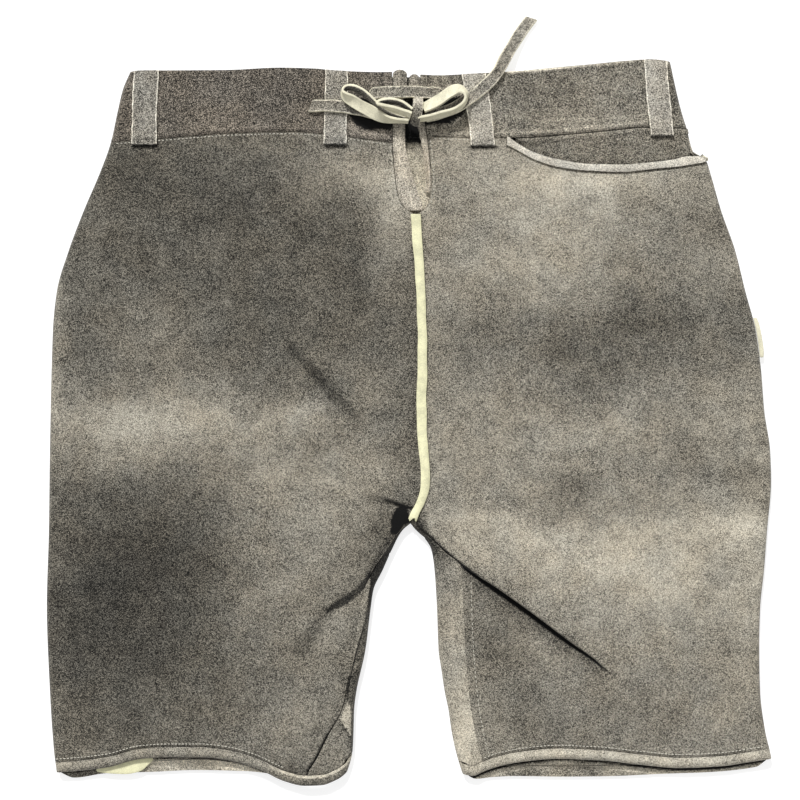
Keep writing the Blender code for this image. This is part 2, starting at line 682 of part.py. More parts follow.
def hem_tab():
    """The small cream tab inside the left leg opening, seen below the front hem."""
    x = np.array([-206, -200, -192, -184, -178]) * MM
    far = follow(HEM_FRONT_LEFT, "x", x) + 7 * MM
    near = np.array([-236.6, -237.8, -238.2, -236.8, -231.6]) * MM
    height = skin(x, far, True).min() - HEM_LEATHER - 2 * GAP
    sheet("hem_tab_left", raised(x, np.stack([near, far]), height), TAB_LEATHER, CREAM)


# ---------------------------------------------------------------- the lace
# Points along the middle of each length of lace. tilt turns the strap about its own length:
# 0 lies flat and 90 stands on its edge (given in degrees).
LACE = {
    "lace_bar": (
        "x y z tilt",
        (-27.5, 224.6, 9.2, 0), (-24, 224.8, 9.9, 0), (-12, 225.2, 10.6, 0), (0, 225.2, 10.9, 0),
        (12, 224.8, 10.6, 0),
        (19, 224.2, 9.9, 0), (23.5, 223.6, 9.2, 0),
    ),
    "lace_tail_left": (
        "x y z tilt",
        (-67.5, 214.6, 9.0, 0), (-62, 214.6, 9.6, 0), (-57.5, 214.5, 10.9, 0), (-50, 214.2, 10.9, 0),
        (-43, 213.4, 10.9, 0), (-37, 212.4, 9.4, 0), (-26, 210.2, 9.1, 0), (-14, 208.2, 9.4, 0),
        (-4.5, 207.2, 10.6, 0),
    ),
    "lace_tail_right": (
        "x y z tilt",
        (10.5, 207.4, 10.8, 0), (20, 209.6, 9.6, 0), (30, 213.0, 9.3, 0), (37, 217.2, 11.2, 8),
        (44, 222.0, 11.4, 6),
        (51, 228.0, 11.1, 0), (57, 234.0, 10.8, -8), (61, 240.0, 9.8, -14), (65.5, 249.0, 6.8, -10),
        (70.5, 257.5, 3.6, -4), (76, 266.0, 1.5, 0), (83.0, 275.4, 1.1, 0),
    ),
    "lace_loop_left": (
        "x y z tilt",
        (-3.4, 205.6, 16.6, 44), (-10, 207.0, 17.2, 36), (-18, 209.6, 17.2, 30),
        (-26, 212.6, 17.2, 28), (-33.5, 215.8, 17.2, 32),
        (-41, 221.2, 17.2, 52), (-44.4, 225.8, 17.2, 84), (-42.2, 229.2, 17.2, 106),
        (-37, 229.4, 17.2, 112),
        (-31, 226.2, 17.2, 112), (-25.6, 220.6, 17.2, 108), (-20, 216.0, 17.2, 104),
        (-13, 213.0, 17.2, 98), (-3.6, 211.6, 16.8, 92),
    ),
    "lace_loop_right": (
        "x y z tilt",
        (9.8, 205.6, 17.0, 138), (16, 206.8, 17.4, 136), (23, 208.8, 17.4, 132),
        (31, 212.8, 17.4, 124), (37.4, 218.2, 17.4, 108),
        (39.4, 223.6, 17.4, 92), (36.4, 227.6, 17.4, 66), (30, 227.4, 17.4, 48), (23, 223.6, 17.4, 40),
        (16, 218.6, 17.2, 42),
        (9.4, 214.0, 17.0, 48),
    ),
}
KNOT = {"at": (3.2, 209.4, 14.6), "size": (6.4, 9.2, 6.0)}


def smooth_path(points, count):
    """count points along a curve through the given points (Catmull-Rom), even along its length."""
    ends = np.vstack([2 * points[0] - points[1], points, 2 * points[-1] - points[-2]])
    fine = []
    for p0, p1, p2, p3 in zip(ends[:-3], ends[1:-2], ends[2:-1], ends[3:], strict=True):
        t = np.linspace(0, 1, 16, endpoint=False)[:, None]
        bend = (2 * p0 - 5 * p1 + 4 * p2 - p3) * t**2
        twist = (3 * p1 - p0 - 3 * p2 + p3) * t**3
        fine.append(0.5 * (2 * p1 + (p2 - p0) * t + bend + twist))
    fine = np.vstack([*fine, points[-1:]])
    length = np.concatenate([[0], np.cumsum(np.linalg.norm(np.diff(fine[:, :3], axis=0), axis=1))])
    at = np.linspace(0, length[-1], count)
    return np.stack([np.interp(at, length, fine[:, i]) for i in range(fine.shape[1])], axis=1)


def strap(name, count):
    """A flat strap along its row of LACE, turned about its own length by the tilt."""
    _, *rows = LACE[name]
    path = smooth_path(np.array(rows, float) * (MM, MM, MM, 1), count)
    centre, tilt = path[:, :3], np.radians(path[:, 3:4])
    forward = np.gradient(centre, axis=0)
    forward /= np.linalg.norm(forward, axis=1, keepdims=True)
    level = np.cross(forward, (0, 0, 1))
    level /= np.linalg.norm(level, axis=1, keepdims=True)
    across = level * np.cos(tilt) + np.cross(level, forward) * np.sin(tilt)
    grid = centre[:, None] + across[:, None] * (LACE_WIDTH / 2 * np.array([-1, 1]))[None, :, None]
    sheet(name, grid, LACE_THICK, LACE_GREY, offset=0)


def lace_knot():
    """The knot of the bow, drawn tight over the slit of the fly."""
    mesh = bpy.data.meshes.new("lace_knot")
    shape = bmesh.new()
    bmesh.ops.create_uvsphere(shape, u_segments=14, v_segments=8, radius=1)
    for vertex in shape.verts:
        vertex.co = [KNOT["at"][i] * MM + vertex.co[i] * KNOT["size"][i] * MM for i in range(3)]
    shape.to_mesh(mesh)
    shape.free()
    mesh.shade_smooth()
    link("lace_knot", mesh, LACE_GREY)


def centre_on_origin(skip):
    """Moves every piece so that the garment's box, without the lace, is centred over the origin."""
    bpy.context.view_layer.update()
    depsgraph = bpy.context.evaluated_depsgraph_get()
    points = []
    for obj in PARTS.objects:
        if not obj.name.startswith(skip):
            mesh = obj.evaluated_get(depsgraph).to_mesh()
            points.append(np.array([vertex.co for vertex in mesh.vertices]))
            obj.evaluated_get(depsgraph).to_mesh_clear()
    points = np.vstack(points)
    middle = (points.min(axis=0) + points.max(axis=0)) / 2
    for obj in PARTS.objects:
        obj.location = (-middle[0], -middle[1], -points[:, 2].min())


# ---------------------------------------------------------------- build
PARTS = clear_scene()
GREY = material("suede_grey", (0.23, 0.21, 0.18), 0.95)
TRIM = material("suede_trim", (0.27, 0.25, 0.21), 0.95)
CREAM = material("cream_leather", (0.72, 0.69, 0.52), 0.8)
LACE_GREY = material("lace_leather", (0.38, 0.36, 0.30), 0.85)

front_left()
front_right()
back("left")
back("right")
hem("left")
hem("right")
waistband("left")
waistband("right")
for number in range(1, 5):
    belt_loop(number)
fly_facing("left")
fly_facing("right")
fly_gusset()
seam_piping()
pocket_back()
pocket_binding()
side_tab()
hem_tab()
strap("lace_bar", 10)
strap("lace_tail_left", 14)
strap("lace_tail_right", 20)
strap("lace_loop_left", 22)
strap("lace_loop_right", 20)
lace_knot()
centre_on_origin("lace")
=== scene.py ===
# %% [markdown]
# # Suede lederhosen, laid flat
# Short leather trousers lie on their back with the front up. The solids of the part give the place of
# every cut piece. This lesson dresses each of them with a finer skin of the same shape: soft folds,
# seams that sink in, stitches, light cut edges, and a nap that is mottled in soft clouds.
# The order is: frame, camera, floor and light first, then the finishes and the pattern, then piece by
# piece, with the lace and the stitches last.

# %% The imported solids
import math

import bpy
import numpy as np
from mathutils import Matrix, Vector


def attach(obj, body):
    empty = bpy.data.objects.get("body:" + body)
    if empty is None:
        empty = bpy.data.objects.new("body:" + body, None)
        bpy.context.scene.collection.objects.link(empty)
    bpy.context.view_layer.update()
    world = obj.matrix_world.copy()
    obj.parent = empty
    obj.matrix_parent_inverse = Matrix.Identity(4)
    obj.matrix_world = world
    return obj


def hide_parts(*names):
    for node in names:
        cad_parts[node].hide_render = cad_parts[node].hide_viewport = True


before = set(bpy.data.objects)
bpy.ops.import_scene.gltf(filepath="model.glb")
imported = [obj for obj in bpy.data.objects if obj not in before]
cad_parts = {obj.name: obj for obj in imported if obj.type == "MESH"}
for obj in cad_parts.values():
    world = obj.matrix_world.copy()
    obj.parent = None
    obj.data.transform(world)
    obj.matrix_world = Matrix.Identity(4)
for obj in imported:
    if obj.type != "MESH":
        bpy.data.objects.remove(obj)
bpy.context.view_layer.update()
MM = 0.001
SHIFT = np.array([0.615, 0.370, 0.0]) * MM  # from the tables' own zero to the middle of the garment's box


def linked(name, data):
    """A new object of the scene around a mesh, a lamp or a camera."""
    made = bpy.data.objects.new(name, data)
    bpy.context.scene.collection.objects.link(made)
    return made


# %% [markdown]
# ## Camera
# The garment is seen from straight above, so the camera hangs over it and looks down. A long lens
# from a good way up keeps the outline free of perspective, and the frame is about 54 cm across.

# %% Camera
FRAME_WIDTH = 544 * MM
HEIGHT = 1.6
CLOTH_HEIGHT = 6 * MM  # the frame's width is true at this height
LOOKS_AT = (-6.8 * MM, 15.0 * MM)
camera = linked("camera", bpy.data.cameras.new("camera"))
camera.data.sensor_width = 36
camera.data.lens = camera.data.sensor_width * (HEIGHT - CLOTH_HEIGHT) / FRAME_WIDTH
camera.data.clip_start, camera.data.clip_end = 0.01, 20
camera.location = (LOOKS_AT[0] + SHIFT[0], LOOKS_AT[1] + SHIFT[1], HEIGHT)
bpy.context.scene.camera = camera
print("lens", round(camera.data.lens, 1), "mm")

# %% [markdown]
# ## Shader arithmetic
# A suede needs a good deal of arithmetic on noise. Written out as nodes it is hard to read, so one
# small class wraps a socket and lets plus, minus, times and divide build the Math nodes.

# %% Sockets that do arithmetic
class Wire:
    """A node's output socket on which ordinary arithmetic adds Math nodes."""

    def __init__(self, tree, socket):
        self.tree, self.socket = tree, socket

    def maths(self, operation, *values):
        return node(self.tree, "ShaderNodeMath", {"operation": operation}, *values)

    def __add__(self, other):
        return self.maths("ADD", self, other)

    def __sub__(self, other):
        return self.maths("SUBTRACT", self, other)

    def __rsub__(self, other):
        return self.maths("SUBTRACT", other, self)

    def __mul__(self, other):
        return self.maths("MULTIPLY", self, other)

    def __truediv__(self, other):
        return self.maths("DIVIDE", self, other)

    def __rtruediv__(self, other):
        return self.maths("DIVIDE", other, self)

    __radd__, __rmul__ = __add__, __mul__

    def above(self, low, high):
        """0 under low, 1 over high, and a straight rise between them."""
        settings = {"clamp": True}
        return node(self.tree, "ShaderNodeMapRange", settings, self, low, high, 0.0, 1.0)


def node(tree, kind, settings, *values, out=0):
    """Adds a node: first its settings, then the values or wires of its sockets, in their order."""
    made = tree.nodes.new(kind)
    for name, value in settings.items():
        setattr(made, name, value)
    for socket, value in zip(made.inputs, values, strict=False):
        if isinstance(value, Wire):
            tree.links.new(value.socket, socket)
        elif value is not None:
            socket.default_value = value
    return Wire(tree, made.outputs[out])


def blank(name):
    """A new material with its node tree, its shader and its place on the object."""
    made = bpy.data.materials.new(name)
    made.use_nodes = True
    tree = made.node_tree
    place = node(tree, "ShaderNodeTexCoord", {}, out=3)
    return made, tree, tree.nodes["Principled BSDF"], place


def noise(tree, place, scale, detail=2.0, rough=0.5, seed=(0.0, 0.0, 0.0)):
    """A noise between about 0.2 and 0.8, whose spots are roughly one over scale metres across."""
    moved = node(tree, "ShaderNodeVectorMath", {"operation": "ADD"}, place, seed)
    made = tree.nodes.new("ShaderNodeTexNoise")
    tree.links.new(moved.socket, made.inputs["Vector"])
    made.inputs["Scale"].default_value = scale
    made.inputs["Detail"].default_value = detail
    made.inputs["Roughness"].default_value = rough
    return Wire(tree, made.outputs["Fac"])


print("shader arithmetic ready")

# %% [markdown]
# ## Floor and light
# A plain pale floor that glows faintly, like a light table, so that shadows on it stay weak. Under the
# middle of the garment it doesn't glow, or it would shine through the gaps at the fly. One broad lamp
# stands beyond the waistband, a little to the left, and low enough to rake over the folds, so that each
# one gets a bright and a dark side. A weak, even sky fills the shadows.

# %% Floor and light
FLOOR_LEVEL = -0.0006
GLOW = 0.68
NO_GLOW = ((-0.15, 0.15), (-0.04, 0.225))  # across and along
floor_mesh = bpy.data.meshes.new("floor")
floor_mesh.from_pydata([(-4, -4, 0), (4, -4, 0), (4, 4, 0), (-4, 4, 0)], [], [(0, 1, 2, 3)])
floor = linked("floor", floor_mesh)
floor.location.z = FLOOR_LEVEL
floor_look, tree, floor_shader, place = blank("floor_pale")
floor_shader.inputs["Base Color"].default_value = (0.42, 0.42, 0.42, 1)
floor_shader.inputs["Roughness"].default_value = 0.9
floor_shader.inputs["Emission Color"].default_value = (1, 1, 1, 1)
within = []
for i, (low, high) in enumerate(NO_GLOW):
    at = node(tree, "ShaderNodeSeparateXYZ", {}, place, out=i)
    within.append((at - low).above(0, MM) * (high - at).above(0, MM))
tree.links.new((GLOW - within[0] * within[1] * GLOW).socket, floor_shader.inputs["Emission Strength"])
floor_mesh.materials.append(floor_look)

key = linked("key", bpy.data.lights.new("key", "SUN"))
key.data.energy = 3.3
key.data.angle = math.radians(7)
key.rotation_euler = Vector((0.22, -0.70, -0.68)).to_track_quat("-Z", "Y").to_euler()

world = bpy.data.worlds.new("studio")
world.use_nodes = True
world.node_tree.nodes["Background"].inputs["Color"].default_value = (1, 1, 1, 1)
world.node_tree.nodes["Background"].inputs["Strength"].default_value = 0.62
bpy.context.scene.world = world
bpy.context.scene.view_settings.view_transform = "Standard"
print("floor, key and sky ready")

# %% [markdown]
# ## Finishes
# The hide is suede on both faces: a short nap with no shine that scatters light, darker where it has
# been rubbed one way and lighter where it has been rubbed the other. A ready-made leather picture
# would repeat, so the colour is made in three layers. Broad clouds are painted into the mesh
# as an attribute called hide. Over them the shader lays a fine speckle of about a millimetre and a
# few longer light fibres, and the same speckle lifts the nap as a bump.

# %% Suede and cut leather
def levels(value):
    """The colour share that looks as light as a display level of 0 to 255 under this light."""
    return ((np.asarray(value) / 255 + 0.055) / 1.055) ** 2.4 / 1.12


def bump(tree, shader, height, strength, distance):
    made = tree.nodes.new("ShaderNodeBump")
    made.inputs["Strength"].default_value = strength
    made.inputs["Distance"].default_value = distance
    tree.links.new(height.socket, made.inputs["Height"])
    tree.links.new(made.outputs["Normal"], shader.inputs["Normal"])


def blend(tree, share, low, high):
    """A colour between two."""
    return node(tree, "ShaderNodeMix", {"data_type": "RGBA"}, share, *[None] * 5, low, high, out=2)


def suede(name, speckle=1.0, nap=1.0, paint="hide"):
    """Speckled nap over the painted hide: the colour is scaled by one plus noise, most where it is dark."""
    made, tree, shader, place = blank(name)
    hide = node(tree, "ShaderNodeAttribute", {"attribute_name": paint})
    light = node(tree, "ShaderNodeSeparateColor", {}, hide, out=1)
    cells = node(tree, "ShaderNodeTexVoronoi", {"feature": "F1"}, place, None, 1850.0, out=1)
    tuft = node(tree, "ShaderNodeSeparateColor", {}, cells) - 0.5
    grain = (noise(tree, place, 1750, 2.0, 0.6) - 0.5) * 0.66 + tuft * 0.34
    pore = noise(tree, place, 2300, 0.0, seed=(3.1, 1.7, 0.4)) - 0.5
    cloud = noise(tree, place, 85, 4.0, 0.62, seed=(7.0, 2.0, 1.0)) - 0.5
    drift = noise(tree, place, 19, 3.0, 0.55, seed=(1.0, 9.0, 4.0)) - 0.5
    stretched = node(tree, "ShaderNodeVectorMath", {"operation": "MULTIPLY"}, place, (1.0, 0.42, 1.0))
    fibre = noise(tree, stretched, 760, 2.0, 0.6, seed=(5.0, 5.0, 2.0)).above(0.66, 0.78)
    depth = (0.20 / (light + 0.035) + 0.165) * light.above(0.002, 0.032)
    fine = (grain * 4.5 + pore * 2.3) * depth * speckle
    factor = fine + (cloud * 1.35 + drift * 0.42) * (depth * 0.6 + 0.4) + 1.0
    bright = fibre * light.above(0.002, 0.032) * (0.035 / (light + 0.03)) * speckle + factor
    floor_value = bright.maths("MAXIMUM", bright, 0.12)
    scaled = node(tree, "ShaderNodeVectorMath", {"operation": "SCALE"}, hide, None, None, floor_value)
    hue = noise(tree, place, 34, 3.0, 0.6, seed=(4.0, 8.0, 3.0)).above(0.36, 0.64)
    tint = blend(tree, hue, (1.015, 0.998, 0.98, 1), (0.985, 1.002, 1.03, 1))
    tinted = node(tree, "ShaderNodeVectorMath", {"operation": "MULTIPLY"}, scaled, tint)
    tree.links.new(tinted.socket, shader.inputs["Base Color"])
    shader.inputs["Roughness"].default_value = 0.96
    shader.inputs["Specular IOR Level"].default_value = 0.18
    shader.inputs["Sheen Weight"].default_value = 0.12
    shader.inputs["Sheen Roughness"].default_value = 0.5
    bump(tree, shader, grain * 1.2 + pore + cloud * 2.6, 0.55 * nap, 0.0009)
    return made


def cut_leather(name, *display):
    """The pale inside of a hide where it has been cut: close fibres, a little darker in between."""
    colour = levels(display)
    made, tree, shader, place = blank(name)
    fibres = noise(tree, place, 1300, 3.0, 0.6)
    blotch = noise(tree, place, 160, 2.0, 0.5, seed=(2.0, 4.0, 6.0))
    factor = (fibres * 0.6 + blotch * 0.6).above(0.34, 0.72)
    dark, light = (*[c * 0.66 for c in colour], 1), (*[min(c * 1.08, 0.95) for c in colour], 1)
    tree.links.new(blend(tree, factor, dark, light).socket, shader.inputs["Base Color"])
    shader.inputs["Roughness"].default_value = 0.85
    shader.inputs["Specular IOR Level"].default_value = 0.25
    bump(tree, shader, fibres, 0.5, 0.0005)
    return made


SUEDE = suede("suede_nap")
INSIDE = suede("suede_inside", 1.3, paint="inside")
TRIM = suede("suede_short_nap", 1.4)
LACE_SUEDE = suede("lace_nap", 1.3, 0.9)
CREAM = cut_leather("cream_split", 232, 229, 190)
EDGE = cut_leather("cut_edge", 214, 208, 180)
LACE_CREAM = cut_leather("cream_lace", 227, 222, 196)
THREAD = cut_leather("thread", 132, 126, 112)
PALE_THREAD = cut_leather("thread_pale", 214, 210, 196)
print("finishes:", [m.name for m in (SUEDE, LACE_SUEDE, CREAM, EDGE, THREAD, PALE_THREAD)])

# %% [markdown]
# ## The pattern of the garment
# A maker starts from a paper pattern: the outline of the flat garment and the lines where pieces
# meet. The tables below are that pattern in millimetres, a point to a row. Curves through them never
# overshoot, so a line stays between its own points, and every later piece is cut between two lines.

# %% Tables


def table(columns, *rows):
    """A table in millimetres as a dict of named columns in metres."""
    return dict(zip(columns.split(), np.array(rows, float).T * MM, strict=True))


# How far across (x) the side fold lies at each height (y).
SIDE_LEFT = table(
    "y x",
    (-241, -240.2), (-223, -242.4), (-183, -245.1), (-125, -247.2), (-74, -245.8), (-19, -245.1),
    (62, -243.1), (89, -240.4), (117, -232.2), (144, -222.0), (171, -210.5), (190, -203.7),
    (212, -198.9), (226, -195.5), (238, -190.5), (242, -188.5),
)
SIDE_RIGHT = table(
    "y x",
    (-236, 246.6), (-228, 245.8), (-210, 241.7), (-183, 238.3), (-155, 237.7), (-128, 238.3),
    (-101, 241.0), (-74, 243.1), (-40, 245.8), (-19, 245.1), (8, 241.1), (35, 239.0), (62, 235.4),
    (89, 228.3), (117, 221.3), (144, 211.8), (171, 204.0), (177, 202.0), (181, 198.2), (184, 192.8),
    (199, 188.6), (212, 184.6), (226, 181.2), (245, 177.0), (249, 176.0),
)
# The fold along the inside of each leg, from the crotch down.
INNER_LEFT = table(
    "y x",
    (-246, -48.0), (-237, -42.5), (-223, -39.0), (-210, -38.4), (-196, -38.0), (-183, -36.4),
    (-155, -30.3), (-128, -26.9), (-114, -24.8), (-101, -18.7), (-87, -12.4), (-74, -5.4), (-69, 0.3),
)
INNER_RIGHT = table(
    "y x",
    (-244, 37.5), (-237, 35.0), (-223, 30.9), (-210, 28.2), (-196, 26.2), (-183, 23.5), (-169, 21.4),
    (-155, 19.4), (-128, 18.4), (-101, 16.7), (-87, 14.6), (-78, 9.0), (-74, 4.4), (-69, 0.3),
)
# The centre seam down the front, and the same seam as it runs up the back.
CENTRE_FRONT = table(
    "y x",
    (-69, 0.3), (-62, 3.0), (-55, 6.7), (-44, 10.0), (-34, 10.7), (-17, 9.2), (0, 8.0), (16, 7.4),
    (32, 8.1), (57, 8.7), (82, 7.5), (115, 5.4), (141, 4.2), (250, 0.0),
)
CENTRE_BACK = table(
    "y x",
    (-69, 0.3), (-30, 3.0), (60, 2.0), (190, 0.0), (250, 0.0),
)
# The inseams. They lie on top, because each back panel comes round the inside of the leg.
INSEAM_LEFT = table(
    "y x",
    (-247, -74.0), (-238, -69.7), (-228, -63.5), (-213, -56.0), (-198, -47.5), (-189, -44.6),
    (-178, -42.8), (-162, -39.2), (-121, -33.2), (-105, -27.4), (-87, -15.8), (-74, -6.4), (-69, 0.3),
)
INSEAM_RIGHT = table(
    "y x",
    (-244, 54.0), (-227, 48.5), (-196, 41.8), (-153, 37.7), (-120, 36.3), (-105, 36.0), (-98, 35.0),
    (-88, 23.9), (-78, 13.4), (-74, 7.0), (-69, 0.3),
)
# The edges of the two front panels down both sides of the fly.
FLY_LEFT = table(
    "y x",
    (141.5, 3.9), (144, -2.4), (150, -6.6), (160, -9.4), (175, -11.0), (189, -12.0), (250, -12.0),
)
FLY_RIGHT = table(
    "y x",
    (141.5, 4.5), (144, 9.2), (151, 13.0), (163, 14.6), (180, 13.4), (195, 11.6), (215, 8.4), (250, 5.8),
)
# The free edges of the rolled facings, which meet above the lace and part below it.
FACING_LEFT = table(
    "y x",
    (144, 8.6), (148, 8.2), (152, 6.6), (164, 2.8), (180, -1.6), (189, -3.2), (201, -3.4), (218, -2.4),
    (250, -1.8),
)
FACING_RIGHT = table(
    "y x",
    (152, 12.2), (164, 12.8), (172, 12.0), (180, 10.6), (188, 8.4), (196, 6.4), (206, 3.4), (218, -0.6),
    (250, -0.9),
)
# Heights of the lines that run across, by their distance across.
WAIST_LEFT = table(
    "x y",
    (-206, 190), (-172, 192.4), (-120, 196.2), (-82, 197.2), (-60, 195.8), (-41, 193.5), (-10, 189.2),
)
WAIST_RIGHT = table(
    "x y",
    (8, 194.4), (57, 192.8), (83, 193.5), (106, 195.4), (138, 198.3), (160, 200.4), (191, 199.4),
)
WAIST_BACK = table(
    "x y",
    (-206, 190), (-120, 193), (0, 193.5), (120, 197), (191, 199.4),
)
BAND_TOP_LEFT = table(
    "x y",
    (-196, 236.4), (-190, 238.2), (-181, 238.8), (-125, 239.2), (-88, 240.8), (-65, 240.2), (-50, 238.8),
    (-21, 237.8), (-1, 238.2),
)
BAND_TOP_RIGHT = table(
    "x y",
    (-1, 236.6), (20, 235.6), (41, 236.6), (71, 238.4), (102, 241), (132, 243.8), (163, 246.4),
    (180, 244.6),
)
BAND_TOP_BACK = table(
    "x y",
    (-196, 236.4), (-120, 238.8), (-60, 238.2), (0, 235.0), (41, 236.0), (71, 239.0), (120, 243.6),
    (163, 247.0), (180, 244.6),
)
HEM_FRONT_LEFT = table(
    "x y",
    (-244, -238.4), (-239, -238.2), (-207, -235.0), (-184, -229.2), (-163, -227.6), (-143, -227.6),
    (-122, -230.2), (-103, -236.0), (-85, -244.3), (-72, -247.2), (-60, -246.8), (-50, -243.2),
    (-43, -238.2), (-36, -229.0),
)
HEM_BACK_LEFT = table(
    "x y",
    (-244, -238.4), (-239, -238.9), (-229, -242.4), (-207, -239.4), (-175, -238.4), (-146, -237.2),
    (-111, -238.0), (-85, -241.5), (-72, -244.4), (-60, -244.2), (-50, -241.2), (-43, -236.6),
    (-36, -228.0),
)
HEM_FRONT_RIGHT = table(
    "x y",
    (32, -237.6), (38, -239.8), (43, -240.6), (49, -238.0), (61, -233.9), (77, -230.8), (102, -228.6),
    (129, -229.8), (156, -232.9), (184, -235.2), (211, -234.0), (231, -231.2), (249, -228.4),
)
HEM_BACK_RIGHT = table(
    "x y",
    (32, -237.6), (38, -240.2), (45, -243.2), (56, -242.0), (72, -241.3), (105, -241.7), (138, -241.3),
    (171, -239.8), (204, -238.6), (236, -235.0), (243, -230.4), (249, -228.4),
)
# The mouth of the pocket: the top edge of the right front panel outside x = 65.
POCKET_MOUTH = table(
    "x y",
    (64, 194.0), (72, 189.6), (84, 183.2), (102, 178.0), (122, 175.2), (143, 174.8), (172, 177.2),
    (203, 181.6),
)
# The deep crease that runs down the right leg from the inseam, and on past its end as a plain row.
CREASE = table(
    "x y",
    (30, -92), (36, -98.4), (61, -115.7), (85, -132.9), (108, -150.1), (124, -161.0), (138, -171.9),
    (170, -186), (249, -196),
)
CREASE_FADE = (88 * MM, 143 * MM)  # the crease has its full height up to the first x, none at the second
CREASE_GROWS = (30 * MM, 62 * MM)  # and it grows from this share of its height between these two
CREASE_START = 0.15
CREASE_LIFT = 5.0 * MM
# Soft troughs (negative rise) and ridges in the front, from one point to another.
FOLDS = table(
    "x1 y1 x2 y2 rise width",
    (-82, 57, -46, 14, -2.6, 9),  # hip crease
    (-98, 34, -62, -6, 1.8, 15),  # the ridge beside it
    (-84, -14, -14, -46, 2.2, 15),  # thigh ridge
    (-22, -56, 2, -61, -2.4, 4.5),  # tuck beside the crotch
    (-58, -129, -22, -98, -2.6, 6),  # fold inside the left leg
    (-74, -112, -34, -80, 2.0, 10),
    (-200, 120, -150, -20, 1.8, 26),
    (-175, -60, -110, -190, -2.2, 22),
    (-215, -40, -190, -190, 1.6, 20),
    (-150, -222, -142, -186, 2.6, 24),  # lift of the left hem
    (-72, -205, -62, -240, 1.6, 13),
    (-46, 150, -22, 60, 1.6, 18),
    (26, 120, 40, 20, 1.6, 18),
    (92, 140, 150, 40, -1.8, 22),
    (200, 120, 216, 0, 1.6, 18),
    (60, -20, 170, -40, 1.8, 20),
    (178, -90, 210, -190, -1.9, 18),
    (112, -226, 116, -192, 2.4, 26),  # lift of the right hem
    (60, -190, 70, -140, 1.2, 14),
    (-120, 172, -60, 180, 1.0, 12),
    (-140, 214, -90, 218, 0.9, 10),
    (90, 218, 140, 224, 0.9, 10),
)


LEATHER, HEM_LEATHER, THIN_LEATHER = 2.0 * MM, 2.3 * MM, 1.4 * MM
FACING_LEATHER, LOOP_LEATHER = 2.4 * MM, 1.7 * MM
LACE_WIDTH, LACE_THICK = 8.0 * MM, 1.8 * MM
STACK = 7.6 * MM
ROUND = STACK / 2
GAP = 0.3 * MM
HEM_HEIGHT = 7.2 * MM
CROTCH = (0.3 * MM, -69.0 * MM)
FLY_FOOT = 141.5 * MM
PIPING_WIDTH, PIPING_LEATHER = 6.8 * MM, 1.3 * MM
BINDING_WIDTH, BINDING_LEATHER = 4.8 * MM, 1.1 * MM
TAB_LEATHER = 0.9 * MM
print("folds in the pattern:", len(FOLDS["x1"]))

# %% Curves through the tables
def smoothstep(value, low, high):
    """0 below low, 1 above high, and a smooth rise between them."""
    share = np.clip((value - low) / (high - low), 0, 1)
    return share * share * (3 - 2 * share)


def bell(away, width):
    """1 at no distance, and a soft fall to nothing within about twice the width."""
    return np.exp(-((away / width) ** 2))


def between(p0, p1, p2, p3, t):
    """A smooth curve from p1 to p2 that also heeds the points before and after (Catmull-Rom)."""
    square = (2 * p0 - 5 * p1 + 4 * p2 - p3) * t**2
    return 0.5 * (2 * p1 + (p2 - p0) * t + square + (3 * p1 - p0 - 3 * p2 + p3) * t**3)


def follow(rows, key, at):
    """A table's second column at values of its first: cubic pieces whose slopes are harmonic means."""
    other = next(name for name in rows if name != key)
    x, y = rows[key], rows[other]
    step = np.diff(x)
    slope = np.diff(y) / step
    total = np.where(slope[:-1] + slope[1:] == 0, 1, slope[:-1] + slope[1:])
    inner = np.where(slope[:-1] * slope[1:] > 0, 2 * slope[:-1] * slope[1:] / total, 0)
    bend = np.concatenate([slope[:1], inner, slope[-1:]])
    at = np.asarray(at, float)
    i = np.clip(np.searchsorted(x, at) - 1, 0, len(x) - 2)
    t = np.clip((at - x[i]) / step[i], 0, 1)
    rise = t * t * (3 - 2 * t)
    bent = t * (1 - t) ** 2 * bend[i] + t * t * (t - 1) * bend[i + 1]
    return y[i] * (1 - rise) + y[i + 1] * rise + step[i] * bent


def line_of(rows, key="y", points=90):
    """Points (x, y) along a table."""
    at = np.linspace(rows[key].min(), rows[key].max(), points)
    pair = [follow(rows, key, at), at]
    return np.stack(pair if key == "y" else pair[::-1], axis=1)


LINES = {
    "left": {
        "sign": 1, "outer": SIDE_LEFT, "inner": INNER_LEFT, "inseam": INSEAM_LEFT, "fly": FLY_LEFT,
        "facing": FACING_LEFT, "hem_front": HEM_FRONT_LEFT, "hem_back": HEM_BACK_LEFT,
        "waist": WAIST_LEFT, "band_top": BAND_TOP_LEFT,
    },
    "right": {
        "sign": -1, "outer": SIDE_RIGHT, "inner": INNER_RIGHT, "inseam": INSEAM_RIGHT, "fly": FLY_RIGHT,
        "facing": FACING_RIGHT, "hem_front": HEM_FRONT_RIGHT, "hem_back": HEM_BACK_RIGHT,
        "waist": WAIST_RIGHT, "band_top": BAND_TOP_RIGHT,
    },
}


def lines_of(side, names):
    """Some of the lines of a side, by their names. Its sign is 1 where the middle lies to the right."""
    return [LINES[side][name] for name in names.split()]


def away_from(x, y, lines):
    """Distance of each point from the nearest of some lines, each a chain of straight stretches."""
    best = 1 + 0 * (x + y)
    for line in lines:
        for a, b in zip(line[:-1], line[1:], strict=True):
            along = b - a
            share = np.clip(((x - a[0]) * along[0] + (y - a[1]) * along[1]) / (along @ along), 0, 1)
            best = np.minimum(best, np.hypot(x - a[0] - share * along[0], y - a[1] - share * along[1]))
    return best


FOLD_LINES = [line_of(rows) for rows in (SIDE_LEFT, SIDE_RIGHT, INNER_LEFT, INNER_RIGHT)]
print("fold lines:", len(FOLD_LINES), "of", len(FOLD_LINES[0]), "points")

